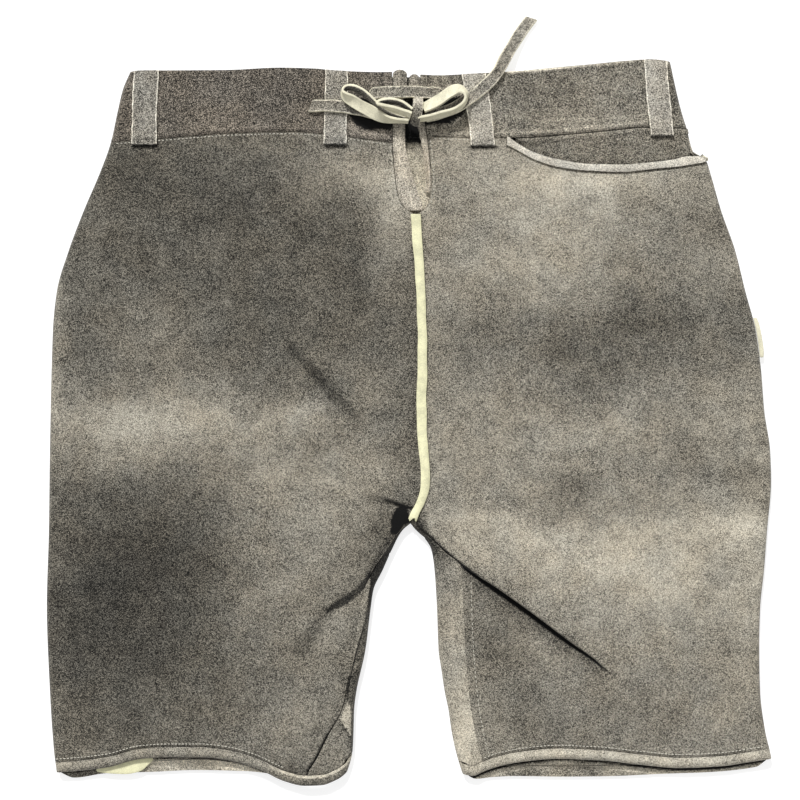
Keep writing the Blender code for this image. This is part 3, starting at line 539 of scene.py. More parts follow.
# %% [markdown]
# ## Folds
# Thick suede does not crumple. It lies in broad ridges and troughs that fade out at both ends. Each
# one is a row of a table: where it starts and ends, how high it rises and how wide it spreads. The
# solids carry the large ones. The skins add smaller dents, and every fold here swells and thins along
# its length, because an even tube would look like piping under the cloth.

# %% Small dents, and the height of the cloth
DENTS = table(
    "x1 y1 x2 y2 rise width",
    (-64, 62, -24, 18, -0.8, 6), (-40, 30, -10, 2, 0.7, 7), (-112, 8, -70, -26, -0.7, 8),
    (-60, -34, -6, -52, -0.9, 4), (-50, -60, -8, -60, 0.8, 4), (-30, -47, 4, -53, 0.9, 3.5),
    (-7, -60, -8, -69, -2.6, 4.6), (-24, -62, -22, -80, 1.1, 7), (-18, 100, -6, 10, -0.5, 6),
    (-70, 150, -40, 100, -0.6, 9), (-130, 150, -110, 70, 0.6, 12), (-190, 170, -170, 120, -0.7, 9),
    (-226, 60, -214, -10, 0.7, 9), (-232, -60, -228, -160, -0.6, 7), (-185, -150, -165, -215, 0.7, 9),
    (-118, -160, -96, -220, 0.8, 8), (-60, -150, -48, -190, 0.7, 6), (-86, -190, -64, -222, -0.9, 6),
    (-70, -105, -30, -72, 0.7, 5), (16, 118, 22, 40, -0.5, 7), (24, 30, 34, -40, 0.7, 8),
    (20, -40, 60, -78, 0.9, 6), (44, -62, 100, -108, 0.9, 6), (50, 100, 90, 60, -0.6, 10),
    (100, 110, 150, 95, 0.5, 10), (150, 66, 220, 58, -0.8, 8), (140, 20, 215, 10, 0.7, 10),
    (200, 150, 226, 90, 0.7, 8), (226, 20, 236, -60, -0.6, 7), (100, -60, 170, -86, -0.5, 9),
    (139, -179, 155, -173, 0.5, 3.5), (155, -173, 171, -158, 0.5, 3.5), (171, -158, 185, -141, 0.5, 3.5),
    (216, -120, 230, -200, 0.7, 8), (70, -150, 88, -215, -0.7, 8), (130, -180, 170, -200, 0.6, 9),
    (52, -130, 58, -215, 0.6, 6), (-170, 226, -150, 202, 0.4, 6), (-36, 226, -30, 200, 0.5, 6),
    (70, 232, 84, 202, -0.4, 7), (128, 230, 140, 210, 0.4, 8),
)


STEPS = table(
    "x1 y1 x2 y2 rise width",
    (-86, 58, -34, 2, 1.5, 3.0),  # hip crease
    (-38, 6, -6, -28, 0.7, 4),
    (-124, 126, -84, 56, 0.5, 5),
    (-112, 94, -72, 34, 0.5, 6),
    (-64, 60, -12, -10, 0.45, 5),
    (-100, 20, -50, -24, 0.5, 6),
    (-60, -132, -25, -103, 1.6, 3.6),  # fold inside the left leg
    (-78, -160, -55, -127, 0.8, 6),
    (-20, -51, 0, -59, 1.5, 1.9),  # tuck beside the crotch
    (16, -76, 60, -60, -0.6, 5),
    (60, 96, 96, 60, 0.35, 7),
    (200, 60, 226, 20, 0.4, 6),
)


def steps(x, y):
    """Creases with one high side: the slope of a bell, high on the line's left, fading at both ends."""
    rise = 0 * (x + y)
    for x1, y1, x2, y2, high, width in zip(*STEPS.values(), strict=True):
        long = math.hypot(x2 - x1, y2 - y1)
        share = ((x - x1) * (x2 - x1) + (y - y1) * (y2 - y1)) / long**2
        aside = ((y - y1) * (x2 - x1) - (x - x1) * (y2 - y1)) / long / width
        fade = smoothstep(share, -0.1, 0.25) * (1 - smoothstep(share, 0.75, 1.1))
        rise = rise + high * fade * aside * np.exp(0.5 - aside**2 / 2)
    return rise


def folds(x, y, rows, uneven=0.0):
    """The sum of all ridges and troughs: a bell across each one, which swells and thins along it."""
    rise = 0 * (x + y)
    for i in range(len(rows["x1"])):
        row = {name: column[i] for name, column in rows.items()}
        a, b = np.array([row["x1"], row["y1"]]), np.array([row["x2"], row["y2"]])
        share = ((x - a[0]) * (b - a)[0] + (y - a[1]) * (b - a)[1]) / ((b - a) @ (b - a))
        held = np.clip(share, 0, 1)
        away = np.hypot(x - a[0] - held * (b - a)[0], y - a[1] - held * (b - a)[1])
        width = row["width"] * (1 + uneven * 0.35 * np.sin(5.1 * share + 1.9 * i))
        swell = 1 + uneven * 0.3 * np.sin(7.3 * share + 2.7 * i)
        rise = rise + row["rise"] * swell * bell(away, width)
    return rise


INSEAM_LINE = line_of(INSEAM_LEFT)
SEAMS = [INSEAM_LINE[INSEAM_LINE[:, 1] > -108 * MM], INSEAM_LINE[INSEAM_LINE[:, 1] < -168 * MM]]
SEAMS += [line_of(FLY_RIGHT, points=40)]
SEAMS += [line_of(rows, "x", 40) for rows in (WAIST_LEFT, WAIST_RIGHT)]
SEAMS += [line_of(rows, "x", 60) + [0, HEM_HEIGHT + GAP] for rows in (HEM_FRONT_LEFT, HEM_FRONT_RIGHT)]


def skin(x, y, front, fine=True):
    """Height of the outer face: half round at each fold line, then level in front, or on the floor behind.

    fine adds the dents, and lets the cloth sink by up to 0.7 mm into each seam and pucker beside it.
    """
    away = away_from(x, y, FOLD_LINES)
    depth = np.clip(away / ROUND, 0, 1)
    half = ROUND * np.sqrt(np.clip(1 - (1 - depth) ** 2, 0, 1))
    rise = folds(x, y, FOLDS)
    if fine:
        seam = away_from(x, y, SEAMS)
        rise = rise + folds(x, y, DENTS, 1.0) + steps(x, y) - 0.7 * MM * bell(seam, 1.3 * MM)
        pucker = np.sin(x / (1.7 * MM) + 2 * np.sin(y / (4.3 * MM)))
        pucker = pucker + np.sin(y / (1.9 * MM) + 2 * np.sin(x / (5.1 * MM)))
        rise = rise + 0.10 * MM * pucker * bell(seam - 3.5 * MM, 3.2 * MM)
    return np.where(front, ROUND + half + rise * smoothstep(away, ROUND, 24 * MM), ROUND - half)


print("dents:", len(DENTS["x1"]), "seams:", len(SEAMS))

# %% [markdown]
# ## Clouds in the hide
# The suede is mottled: broad clouds a hand or two wide, lighter or darker by half. Noise alone would
# put them anywhere. They are listed instead, each as a soft ellipse with its middle, its half widths and
# how many display levels it lightens the hide. Besides the mottling the clouds hold painted light and
# shade: painted shade below the deep crease of the right leg, painted highlights beside the hip crease,
# and the broad lighter and darker stretches of the fronts under the lamp. The left front is the darker
# of the two.

# %% Clouds
LEFT_BASE, RIGHT_BASE = 91, 137
# The left front's mottling, with painted highlights beside the hip crease among it.
LEFT_MOTTLE_AND_SHADING = table(
    "x y wide tall lighter",
    (-190, 0, 44, 20, 58), (-128, -2, 50, 20, 52), (-224, 4, 24, 24, 22), (-72, 6, 26, 14, 34),
    (-96, -36, 44, 20, 36), (-30, -40, 34, 20, 34), (-88, -66, 34, 22, 22), (-98, -110, 34, 40, 34),
    (-52, -80, 24, 26, 22), (-52, -130, 26, 44, 26), (-70, -200, 26, 26, 34), (-110, -206, 24, 26, 16),
    (-200, -90, 44, 40, -20), (-220, -140, 34, 40, -14), (-150, -140, 22, 40, -12),
    (-232, -205, 18, 26, 4), (-150, -224, 110, 9, 14), (-190, 166, 18, 18, -18),
    (-133, 151, 24, 18, -16), (-240, 84, 10, 40, 20), (-10, 163, 24, 30, 62), (-48, 172, 30, 18, 40),
    (-12, 122, 16, 36, 34), (-34, 100, 16, 26, -16), (-62, 128, 18, 22, -10), (-176, 60, 36, 28, 26),
    (-226, 56, 14, 30, -6), (-120, 40, 24, 24, -4), (-242, 30, 6, 80, 18), (-66, 62, 20, 20, 6),
    (-20, 34, 24, 30, 10), (-100, 196, 60, 12, 8), (-30, -8, 22, 14, 12), (-130, 24, 38, 14, 26),
    (-198, -27, 44, 13, 30), (-62, -28, 46, 28, 13), (-160, -92, 32, 36, -16), (-205, -152, 44, 56, -11),
    (-177, -158, 18, 16, -12), (-110, 84, 70, 22, -9), (-66, 46, 9, 6, 14), (-68, 9, 18, 6, 14),
    (-24, 20, 16, 22, 22), (-205, -125, 55, 85, -6), (-170, 150, 60, 55, -6), (-197, 15, 40, 45, 4),
    (-244, 0, 8, 150, 7), (-42, -62, 18, 12, 16), (-78, -158, 22, 20, 16), (-230, 32, 20, 14, 14),
    (-100, 146, 40, 16, -6), (-100, -92, 14, 14, -6), (-160, -44, 30, 8, 8), (-60, 152, 20, 12, 4),
)
# The right front's mottling, with painted shade below the deep crease among it.
RIGHT_MOTTLE_AND_SHADING = table(
    "x y wide tall lighter",
    (102, -67, 45, 40, 5), (129, 166, 62, 8, 24), (37, 184, 26, 9, 14), (59, -157, 20, 44, -5),
    (90, 126, 34, 40, 24), (120, 164, 40, 14, 18), (60, 150, 26, 26, 8), (168, 120, 26, 22, -14),
    (206, 140, 16, 30, 4), (30, 150, 12, 20, -10), (122, 64, 40, 22, -38), (176, 66, 34, 26, -40),
    (222, 66, 18, 30, -34), (58, 60, 28, 20, -28), (24, 60, 16, 30, -12), (129, 34, 60, 16, -22),
    (196, 30, 30, 20, -6), (112, -42, 18, 12, -32), (184, -14, 26, 14, -12), (220, -34, 26, 10, -22),
    (110, -60, 60, 8, -14), (60, 10, 40, 24, 2), (150, -6, 40, 16, 6), (120, -90, 60, 20, 30),
    (180, -110, 50, 26, 30), (212, -68, 26, 14, 26), (60, -80, 26, 14, 22), (56, -150, 26, 36, -34),
    (90, -200, 40, 34, -22), (150, -200, 60, 30, -16), (210, -170, 24, 40, 0), (225, -120, 14, 24, 10),
    (80, 120, 22, 9, -16), (205, 138, 20, 24, -26), (108, 50, 30, 9, -20), (125, 20, 38, 14, -17),
    (212, 22, 16, 14, 14), (158, -32, 38, 11, -17), (36, -62, 22, 12, 20), (180, -72, 50, 11, 18),
    (232, -76, 12, 22, 26), (202, -112, 20, 15, -18), (234, -204, 12, 18, -16), (180, -216, 40, 12, -11),
    (40, 40, 20, 20, -6), (150, 150, 14, 12, -6), (128, 146, 12, 9, 12), (92, 156, 12, 14, 6),
)


def clouded(x, y, base, clouds):
    """Display levels of a hide: its base and the sum of its soft ellipses, on a slightly wavy place."""
    x, y = (
        x + 2.6 * MM * np.sin(y / (13 * MM)) + 1.2 * MM * np.sin(y / (5.1 * MM)),
        y + 2.6 * MM * np.sin(x / (17 * MM) + 1) + MM * np.sin(x / (6.3 * MM)),
    )
    value = base + 0 * (x + y)
    for cx, cy, wide, tall, lighter in zip(*clouds.values(), strict=True):
        value = value + lighter / MM * np.exp(-(((x - cx) / wide) ** 2) - ((y - cy) / tall) ** 2)
    return value


def hide_colour(level, warm=1.0, red=0.0):
    """Display levels of grey as a warm grey: a little more red and less blue than green."""
    level = np.asarray(level, float)[..., None]
    warm = warm * (1.04 + 0.16 * np.clip(1 - level / 110, 0, 1))
    return levels(np.clip(level * (1 + np.array([0.039 + red, 0.0, -0.091]) * warm), 4, 250))


UNPAINTED = hide_colour(200)  # for pieces whose finish doesn't show the painted hide

# Painted shade along lines: the dark bottoms of creases, the gaps along the inseams, the shadows under
# the feet of the first three belt loops and the pleats beside the fly: from one point to another, share
# of light lost, width.
SHADES = table(
    "x1 y1 x2 y2 dark width",
    (-81, 50, -60, 28, 0.33, 3.9), (-60, 28, -37, 3, 0.30, 4.2), (-60, -132, -76, -156, 0.16, 5.0),
    (-16, -53.2, -10, -55.1, 0.82, 0.8), (-10, -55.1, -4.8, -57.1, 0.93, 1.2),
    (-4.8, -57.1, 1, -58.4, 0.93, 1.3), (-12.5, -76, -28, -104, 0.45, 2.2),
    (-28, -106, -34, -150, 0.30, 1.4), (-75, -155, -57, -129, 0.14, 5.0), (3, -66, 9, -60, 0.45, 1.6),
    (4, -70, 14, -78, 0.90, 1.4), (14, -78, 24, -88.3, 0.95, 1.2), (24, -88.3, 30, -93, 0.95, 1.2),
    (30, -93, 38, -99, 0.95, 1.1), (38, -99, 46, -104.8, 0.9, 1.1),
    (-189, 187.5, -172, 187.7, 0.80, 0.9), (-58, 187.5, -43, 187.5, 0.86, 0.9),
    (41, 186.8, 58, 186.8, 0.86, 0.9), (-49.6, -203, -56.2, -213, 0.75, 0.9),
    (-56.2, -213, -64, -229, 0.9, 1.1), (-64, -229, -69.5, -237, 0.85, 1.0),
    (13, 192, 12.6, 183, 0.35, 1.0), (24, 191, 23.6, 184, 0.25, 0.9),
)
# Painted shadow with clear edges: the dark band under the fold inside the left leg, and the black hollow at
# the crotch.
SHADOW_PATCHES = (
    {"share": 0.36, "corners": (
        (-26.3, -100), (-29.9, -105.2), (-36.7, -112.7), (-44.2, -118.2), (-52.4, -123.1),
        (-58.2, -128.6), (-57.2, -130.8), (-52.4, -128), (-44.2, -124.8), (-37.4, -119.8),
        (-31.3, -113.6), (-27.2, -109.6),
    )},
    {"share": 0.07, "corners": (
        (-10.6, -59.8), (-7.5, -57.1), (-2.0, -57.8), (-0.6, -62.6), (1, -68), (-4, -70), (-6.4, -73.4),
        (-9.5, -77), (-13.2, -75.4), (-13.2, -68.7), (-12.4, -63.2),
    )},
)


def patched(x, y, level, patches):
    """Display levels with clear-edged patches: corners in millimetres round each, by the even-odd rule."""
    for patch in patches:
        ring = np.array([*patch["corners"], patch["corners"][0]], float) * MM
        odd = np.zeros(np.shape(x + y), bool)
        for a, b in zip(ring[:-1], ring[1:], strict=True):
            crosses = (a[1] > y) != (b[1] > y)
            odd ^= crosses & (x < (b[0] - a[0]) * (y - a[1]) / (b[1] - a[1] if b[1] != a[1] else 1) + a[0])
        away = away_from(x, y, [ring])
        held = smoothstep(np.where(odd, away, -away), -0.4 * MM, 0.4 * MM)
        target = patch["light"] if "light" in patch else level * patch["share"]
        level = level * (1 - held) + target * held
    return level


def strokes(x, y, rows):
    """The strength of each short line of a table, and how near to it each point is, from 0 to 1."""
    for x1, y1, x2, y2, strength, width in zip(*rows.values(), strict=True):
        yield strength / MM, bell(away_from(x, y, [np.array([[x1, y1], [x2, y2]])]), width)


def shaded(x, y, level):
    """Display levels with the shade lines over them: each takes a share away, most along its middle."""
    for dark, near in strokes(x, y, SHADES):
        level = level * (1 - dark * near)
    return level


# The painted hide of the fronts: mottling with painted light and shade, then the painted shade lines and
# shadow patches.
def front_hide_and_shade(x, y):
    left, right = clouded(x, y, LEFT_BASE, LEFT_MOTTLE_AND_SHADING), clouded(x, y, RIGHT_BASE, RIGHT_MOTTLE_AND_SHADING)
    across = smoothstep(x, 4 * MM, 12 * MM)
    return patched(x, y, shaded(x, y, left * (1 - across) + right * across), SHADOW_PATCHES)


print("clouds:", len(LEFT_MOTTLE_AND_SHADING["x"]) + len(RIGHT_MOTTLE_AND_SHADING["x"]))

# %% [markdown]
# ## From a grid to a piece of leather
# Every cut piece is an open grid of points that follows its outer face. Solidify gives it the
# thickness of the hide and its rim a finish of its own: pale where a cut shows, suede where an edge is
# turned in. A narrow Bevel takes the sharpness off. A plain closed box would look like card.

# %% Leather from a grid
PIECES, CUTS = {}, {}


def spaced(length, step, near=(0.5, 1.2, 2.1, 3.3)):
    """Shares from 0 to 1 along a length: even steps, with closer ones at both ends."""
    close = np.array(near) * MM / length
    middle = np.linspace(close[-1], 1 - close[-1], max(int(length / step), 3))[1:-1]
    return np.concatenate([[0], close, middle, 1 - close[::-1], [1]])


def raised(x, y, z):
    return np.stack(np.broadcast_arrays(x, y, z), axis=-1)


def faces_of(rows, columns, closed=False):
    """Four-sided faces between neighbouring points of a grid; closed joins the last column to the first."""
    r = np.arange(rows - 1)[:, None]
    c = np.arange(columns if closed else columns - 1)[None, :]
    d = (c + 1) % columns
    corners = [r * columns + c, (r + 1) * columns + c, (r + 1) * columns + d, r * columns + d]
    return np.stack(corners, axis=-1).reshape(-1, 4)


def cut_size(grid):
    """Area of a grid, and the width and length of a rectangle that the cut piece comes out of."""
    a, b = grid[1:, 1:] - grid[:-1, :-1], grid[1:, :-1] - grid[:-1, 1:]
    area = float(np.linalg.norm(np.cross(a, b), axis=-1).sum() / 2)
    across = np.linalg.norm(np.diff(grid, axis=1), axis=-1).sum(axis=1).max()
    down = np.linalg.norm(np.diff(grid, axis=0), axis=-1).sum(axis=0).max()
    return area, tuple(sorted((float(across), float(down))))


def leather(
    name, grid, thickness, hide, face=None, rim=None, closed=False, up=True, offset=-1,
    bevel=0.45, reverse=None, inside=None,
):
    """One cut piece that stands for the solid of the same name. hide is a colour for each point.

    up says which way the face looks at the first columns, None leaves it to the grid. reverse is the
    finish of the other side, and inside its own colours.
    """
    rows, columns = grid.shape[:2]
    hide = np.broadcast_to(hide, (rows, columns, 3))
    inside = hide if inside is None else inside
    third = max(columns // 6, 1)
    a, b = grid[1:, :third] - grid[:-1, :third], grid[:-1, 1 : third + 1] - grid[:-1, :third]
    if up is not None and (np.cross(a, b)[..., 2].sum() > 0) != up:
        grid, hide, inside = grid[::-1], hide[::-1], inside[::-1]
    mesh = bpy.data.meshes.new(name)
    mesh.from_pydata((grid.reshape(-1, 3) + SHIFT).tolist(), [], faces_of(rows, columns, closed).tolist())
    for paint, shades in (("hide", hide), ("inside", inside)):
        colours = np.ones((rows * columns, 4))
        colours[:, :3] = shades.reshape(-1, 3)
        mesh.attributes.new(paint, "FLOAT_COLOR", "POINT").data.foreach_set("color", colours.ravel())
    for finish in (face or SUEDE, rim or EDGE, reverse or face or SUEDE):
        mesh.materials.append(finish)
    mesh.shade_smooth()
    piece = linked(name + "_skin", mesh)
    wall = piece.modifiers.new("wall", "SOLIDIFY")
    wall.thickness, wall.offset = thickness, offset
    wall.material_offset_rim, wall.material_offset = 1, 2
    edge = piece.modifiers.new("edge", "BEVEL")
    edge.width, edge.segments, edge.limit_method = bevel * MM, 2, "ANGLE"
    edge.angle_limit = math.radians(62)
    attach(piece, "root")
    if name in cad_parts:
        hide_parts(name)
    PIECES[name] = piece
    CUTS[name] = cut_size(grid)
    print(f"{name}: {rows} x {columns} points")

# %% [markdown]
# ## Front panels
# Each front is cut between the side fold and the middle: the fly, then the centre seam, then the
# inseam. The grid is stretched between those lines, with close rows at the seams where the cloth
# sinks. The right front folds over itself along one deep crease. A height alone cannot do that, so
# its rows are moved down the leg as well: they run out over the lower cloth and back under.

# %% Front panels
SETTLING = 24  # rounds after which a grid stands still between its lines
TURN_SETTLING = 40  # the same for one point on a fold line, which moves half of the way each round


def settle(side, middle, top, bottom, across, down):
    """Grid points between two side lines and two cross lines, by shares, repeated until both agree."""
    x = side(0 * down) * (1 - across) + middle(0 * down) * across
    y = top(x) * (1 - down) + bottom(x) * down
    for _ in range(SETTLING):
        y = 0.5 * y + 0.5 * (top(x) * (1 - down) + bottom(x) * down)
        x = side(y) * (1 - across) + middle(y) * across
    return x, y


FOLD_ANGLES = np.array([0, 0, 14, 28, 42, 56, 72, 90])
UNDER_SEAM = (0.5, 1.2, 2.1, 3.1, 4.1, 5.1, 6.1, 7.2, 8.6)  # how far the first rows lie from the waist seam
SEAM_RISE = np.array([GAP / 2, 0.55 * MM])


def across_panel(width, step):
    """Shares across a panel: close round the side fold, then even, then close near the middle edge."""
    edge = ROUND * (1 - np.cos(np.radians(FOLD_ANGLES))) / width
    close = 1 - np.array([*np.arange(22, 4, -1.15), 3.3, 2.1, 1.2, 0.5, 0]) * MM / width
    flat = np.linspace(edge[-1], close[0], int((width - 26 * MM) / step))[1:-1]
    return np.concatenate([edge, flat, close])


def seam_shut(side, y):
    """1 where an inseam lies flat and shows no gap: low down on the right, halfway down on the left."""
    if side == "right":
        return smoothstep(-y, 96 * MM, 104 * MM)
    return smoothstep(-y, 104 * MM, 110 * MM) * (1 - smoothstep(-y, 166 * MM, 174 * MM))


def front_line(side, y):
    """Where a front panel ends towards the middle: the fly, then the centre seam, then the inseam."""
    sign, fly, inseam = lines_of(side, "sign fly inseam")
    seam = np.where(y < CROTCH[1], follow(inseam, "y", y), follow(CENTRE_FRONT, "y", y))
    half_gap = sign * GAP / 2 * (1 - 0.9 * seam_shut(side, y))
    return np.where(y > FLY_FOOT, follow(fly, "y", y), seam) - half_gap


def front_top(x):
    """Top edge of the right front: the waist seam, then down along the pocket's mouth."""
    mouth = np.where(x > POCKET_MOUTH["x"][0], follow(POCKET_MOUTH, "x", x), 1.0)
    return np.minimum(follow(WAIST_RIGHT, "x", x), mouth)


def front_left():
    across = across_panel(215 * MM, 2.3 * MM)[None, :]
    down = spaced(430 * MM, 2.3 * MM, UNDER_SEAM)
    close = [np.linspace(0.557, 0.634, 36), np.linspace(0.638, 0.752, 44)]  # rows over the hip and the tuck
    down = np.concatenate([down[down < 0.556], *close, down[down > 0.755]])[:, None]
    x, y = settle(
        lambda y: follow(SIDE_LEFT, "y", y),
        lambda y: front_line("left", y),
        lambda x: follow(WAIST_LEFT, "x", x),
        lambda x: follow(HEM_FRONT_LEFT, "x", x) + HEM_HEIGHT + GAP,
        across,
        down,
    )
    z = skin(x, y, True)
    z[:, :2] = ROUND + SEAM_RISE
    grid = raised(x, y, z)
    leather("front_left", grid, LEATHER, hide_colour(front_hide_and_shade(x, y)), rim=SUEDE)


CREASE_PATH = table(
    "y share flat",
    (26, 0.20, 26), (15.5, 0.60, 17), (9.0, 0.98, 10.5), (5.4, 1.12, 6.5), (2.8, 1.02, 2.6),
    (1.7, 0.70, 0.9), (1.9, 0.34, 0.45), (3.0, 0.02, 0.15), (4.0, -0.30, -0.15), (1.6, -0.52, -0.45),
    (-1.4, -0.46, -0.8), (-2.5, -0.44, -1.8), (-7, -0.36, -7.5), (-12, -0.20, -13), (-20, -0.05, -24),
)
CREASE_SHADE = np.array([0, 0, 0, 0, 0, 0.4, 0.96, 0.98, 0.98, 0.98, 0.96, 0.36, 0.24, 0.10, 0.0])


def crease_rows(count):
    """Rows over the crease: how far each moves down, its lift, its flat place and its shade."""
    knots = np.arange(len(CREASE_PATH["y"]))
    at = np.linspace(0, knots[-1], count)
    i = np.clip(at.astype(int), 0, len(knots) - 2)
    t = at - i
    made = []
    for column in (*CREASE_PATH.values(), CREASE_SHADE):
        ends = np.concatenate([[2 * column[0] - column[1]], column, [2 * column[-1] - column[-2]]])
        made.append(between(*(ends[i + step] for step in range(4)), t))
    return made


def front_right():
    across = across_panel(205 * MM, 2.3 * MM)

    def side(y):
        return follow(SIDE_RIGHT, "y", y)

    def middle(y):
        return front_line("right", y)

    def crease(x):
        return follow(CREASE, "x", x)

    def hem(x):
        return follow(HEM_FRONT_RIGHT, "x", x) + HEM_HEIGHT + GAP

    moved, share, flat, shade = crease_rows(76)
    first = spaced(320 * MM, 2.4 * MM, UNDER_SEAM)[: -len(UNDER_SEAM) - 1][:, None]
    _, y1 = settle(side, middle, front_top, lambda x: crease(x) + flat[0], across[None, :], first)
    x2, y2 = settle(side, middle, crease, crease, across[None, :], np.zeros((1, 1)))
    grown = CREASE_START + (1 - CREASE_START) * smoothstep(x2, *CREASE_GROWS)
    full = (1 - smoothstep(x2, *CREASE_FADE)) * grown
    y2 = y2 + moved[:, None] * full + flat[:, None] * (1 - full)
    last = spaced(110 * MM, 2.3 * MM)[5:][:, None]
    _, y3 = settle(side, middle, lambda x: crease(x) + flat[-1], hem, across[None, :], last)
    lift = np.concatenate([0 * y1, share[:, None] / MM * full, 0 * y3])
    y = np.concatenate([y1, y2, y3])
    x = side(y) * (1 - across) + middle(y) * across
    z = skin(x, y, True) + CREASE_LIFT * lift
    z[:, :2] = ROUND + SEAM_RISE
    level = front_hide_and_shade(x, y)
    # Painted shadow in the crease: black under the fold's edge, then a soft shade over the lower cloth.
    lost = np.clip(shade, 0, 1)[:, None] * (1 - smoothstep(x2, 126 * MM, 141 * MM))
    lost = np.concatenate([0 * y1, lost, 0 * y3])
    # Painted shadow on the front just under the pocket's binding.
    under = y - front_top(x) + BINDING_WIDTH
    level = level * (1 - 0.5 * bell(under + 0.4 * MM, 0.7 * MM) * smoothstep(x, 68 * MM, 110 * MM))
    grid = raised(x, y, z)
    leather("front_right", grid, LEATHER, hide_colour(level * (1 - 0.95 * lost)), rim=SUEDE)


front_left()
front_right()

# %% [markdown]
# ## Back panels
# The backs lie on the floor. Above the crotch they meet along the centre of the back, and below it
# each comes round the inside of its leg and lies on top as a strip beside the inseam. The part on the
# floor is plain and needs few points. The turn and the strip are close, because they show.

# %% Back panels
def inner_light_and_shadow(x, y, side):
    """Display levels inside the leg past the front hem: painted shadow, black, just under the hem's edge,
    then painted light where the hem's shadow falls, then the hide's level.
    """
    left = side == "left"
    past = follow(LINES[side]["hem_front"], "x", x) - y
    past = past - 0.9 * MM * left * np.exp(-(((x + 150 * MM) / (24 * MM)) ** 4))
    out_of_shadow = smoothstep(past, 0.9 * MM, 1.7 * MM) if left else smoothstep(past, 2.0 * MM, 3.0 * MM)
    wave = 10 * np.sin(x / (7 * MM)) + 8 * np.sin(x / (2.9 * MM) + y / (2 * MM))
    lit = (214 if left else 186) - 56 * smoothstep(past, 5.0 * MM, 7.5 * MM) + wave
    corner = 0.52 + 0.48 * smoothstep(x, -214 * MM, -197 * MM) if left else 1.0
    return 20 + (lit * corner - 20) * out_of_shadow


STRIP_ROWS = np.concatenate([[0, 0.006, 0.014, 0.025], np.linspace(0.04, 0.975, 72), [0.985, 0.993, 1]])


def back(side, base):
    sign, outer, inner, inseam = lines_of(side, "sign outer inner inseam")
    hem_back, hem_front = lines_of(side, "hem_back hem_front")
    edge = ROUND * (1 - np.cos(np.radians(FOLD_ANGLES))) / (215 * MM)
    floor_share = np.concatenate([edge, np.linspace(0.05, 1, 40)])
    turns = 22
    grid = []
    for share in np.linspace(0, 1, 70)[:-1]:
        across = np.concatenate([floor_share * 0.93, 0.93 + 0.07 * np.linspace(0, 1, turns + 1)[1:]])
        x, y = settle(
            lambda y: follow(outer, "y", y),
            lambda y: follow(CENTRE_BACK, "y", np.maximum(y, CROTCH[1])) - sign * GAP / 2,
            lambda x: follow(WAIST_BACK, "x", x),
            lambda x: np.full_like(x, CROTCH[1]) + 4 * MM,
            across,
            np.full_like(across, share),
        )
        grid.append(raised(x, y, skin(x, y, False, fine=False)))
    for share in STRIP_ROWS:

        def level(x, hem, share=share):
            return CROTCH[1] * (1 - share) + (follow(hem, "x", x) + HEM_HEIGHT + GAP) * share

        x_floor, y_floor = settle(
            lambda y: follow(outer, "y", y),
            lambda y: follow(inner, "y", y) - sign * ROUND,
            lambda x: level(x, hem_back),
            lambda x: level(x, hem_back),
            floor_share,
            0 * floor_share,
        )
        y_turn = y_seam = y_floor[-1]
        for _ in range(TURN_SETTLING):
            y_turn = 0.5 * y_turn + 0.5 * level(follow(inner, "y", y_turn), hem_back)
            y_seam = 0.5 * y_seam + 0.5 * level(follow(inseam, "y", y_seam), hem_front)
        fold = follow(inner, "y", y_turn)
        reach = abs(fold - follow(inseam, "y", y_seam)) - (0.5 - 0.4 * seam_shut(side, y_seam)) * MM
        reach = max(float(reach), 0.0)
        if reach > ROUND:
            angle = np.linspace(-math.pi / 2, math.radians(84), 12)[1:]
            flat = (reach - ROUND) * np.linspace(0, 1, turns - 10)[1:]
        else:
            angle = math.acos(1 - reach / ROUND) + math.pi / 2
            angle = -math.pi / 2 + angle * np.linspace(0, 1, turns + 1)[1:]
            flat = np.zeros(0)
        way = np.concatenate([ROUND * (1 - np.cos(angle)), ROUND + flat])
        rise = way * np.concatenate([angle > 1e-6, flat > -1])
        x_turn = fold - sign * way
        over = smoothstep(way, 0, 2 * ROUND)
        chord = y_turn + (y_seam - y_turn) * rise / max(reach, 0.5 * MM)
        y_line = chord * (1 - over) + level(x_turn, hem_front) * over
        z_turn = np.concatenate([ROUND * (1 + np.sin(angle)), skin(x_turn, y_line, True)[len(angle) :]])
        z_floor = skin(x_floor, y_floor, False, fine=False)
        pairs = ((x_floor, x_turn), (y_floor, y_line), (z_floor, z_turn))
        grid.append(raised(*(np.append(*pair) for pair in pairs)))
    grid = np.array(grid)
    grid[:, :2, 2] = ROUND - SEAM_RISE
    x, y, z = grid[..., 0], grid[..., 1], grid[..., 2]
    # Painted shadow on the back under the fly, and painted shade on its floor part near the middle of the
    # upper back, seen through the fly.
    fly_shadow = np.exp(-(((x - 1.5 * MM) / (9 * MM)) ** 2) - ((y - 198 * MM) / (13 * MM)) ** 2)
    level = clouded(x, y, base, STRIP_CLOUDS) * (1 - 0.78 * fly_shadow)
    inside = (z < ROUND) * smoothstep(-np.abs(x), -24 * MM, -14 * MM) * (y > 150 * MM)
    lit = hide_colour(inner_light_and_shadow(x, y, side))
    level = patched(x, y, level * (1 - 0.7 * inside), STRIP_PATCHES)
    leather(
        "back_" + side, grid, LEATHER, hide_colour(level),
        rim=SUEDE, up=False, reverse=INSIDE, inside=lit,
    )


# The strips beside the inseams: shaded in the left leg's turn, sunlit and paler down the right leg.
STRIP_CLOUDS = table(
    "x y wide tall lighter",
    (-14, -90, 24, 26, -44), (-30, -135, 12, 34, -38), (-36, -170, 8, 20, -12), (-50, -218, 8, 14, 6),
    (12, -84, 14, 16, -50), (26, -110, 14, 20, -4), (33, -170, 12, 40, 16), (40, -220, 10, 30, 44),
)
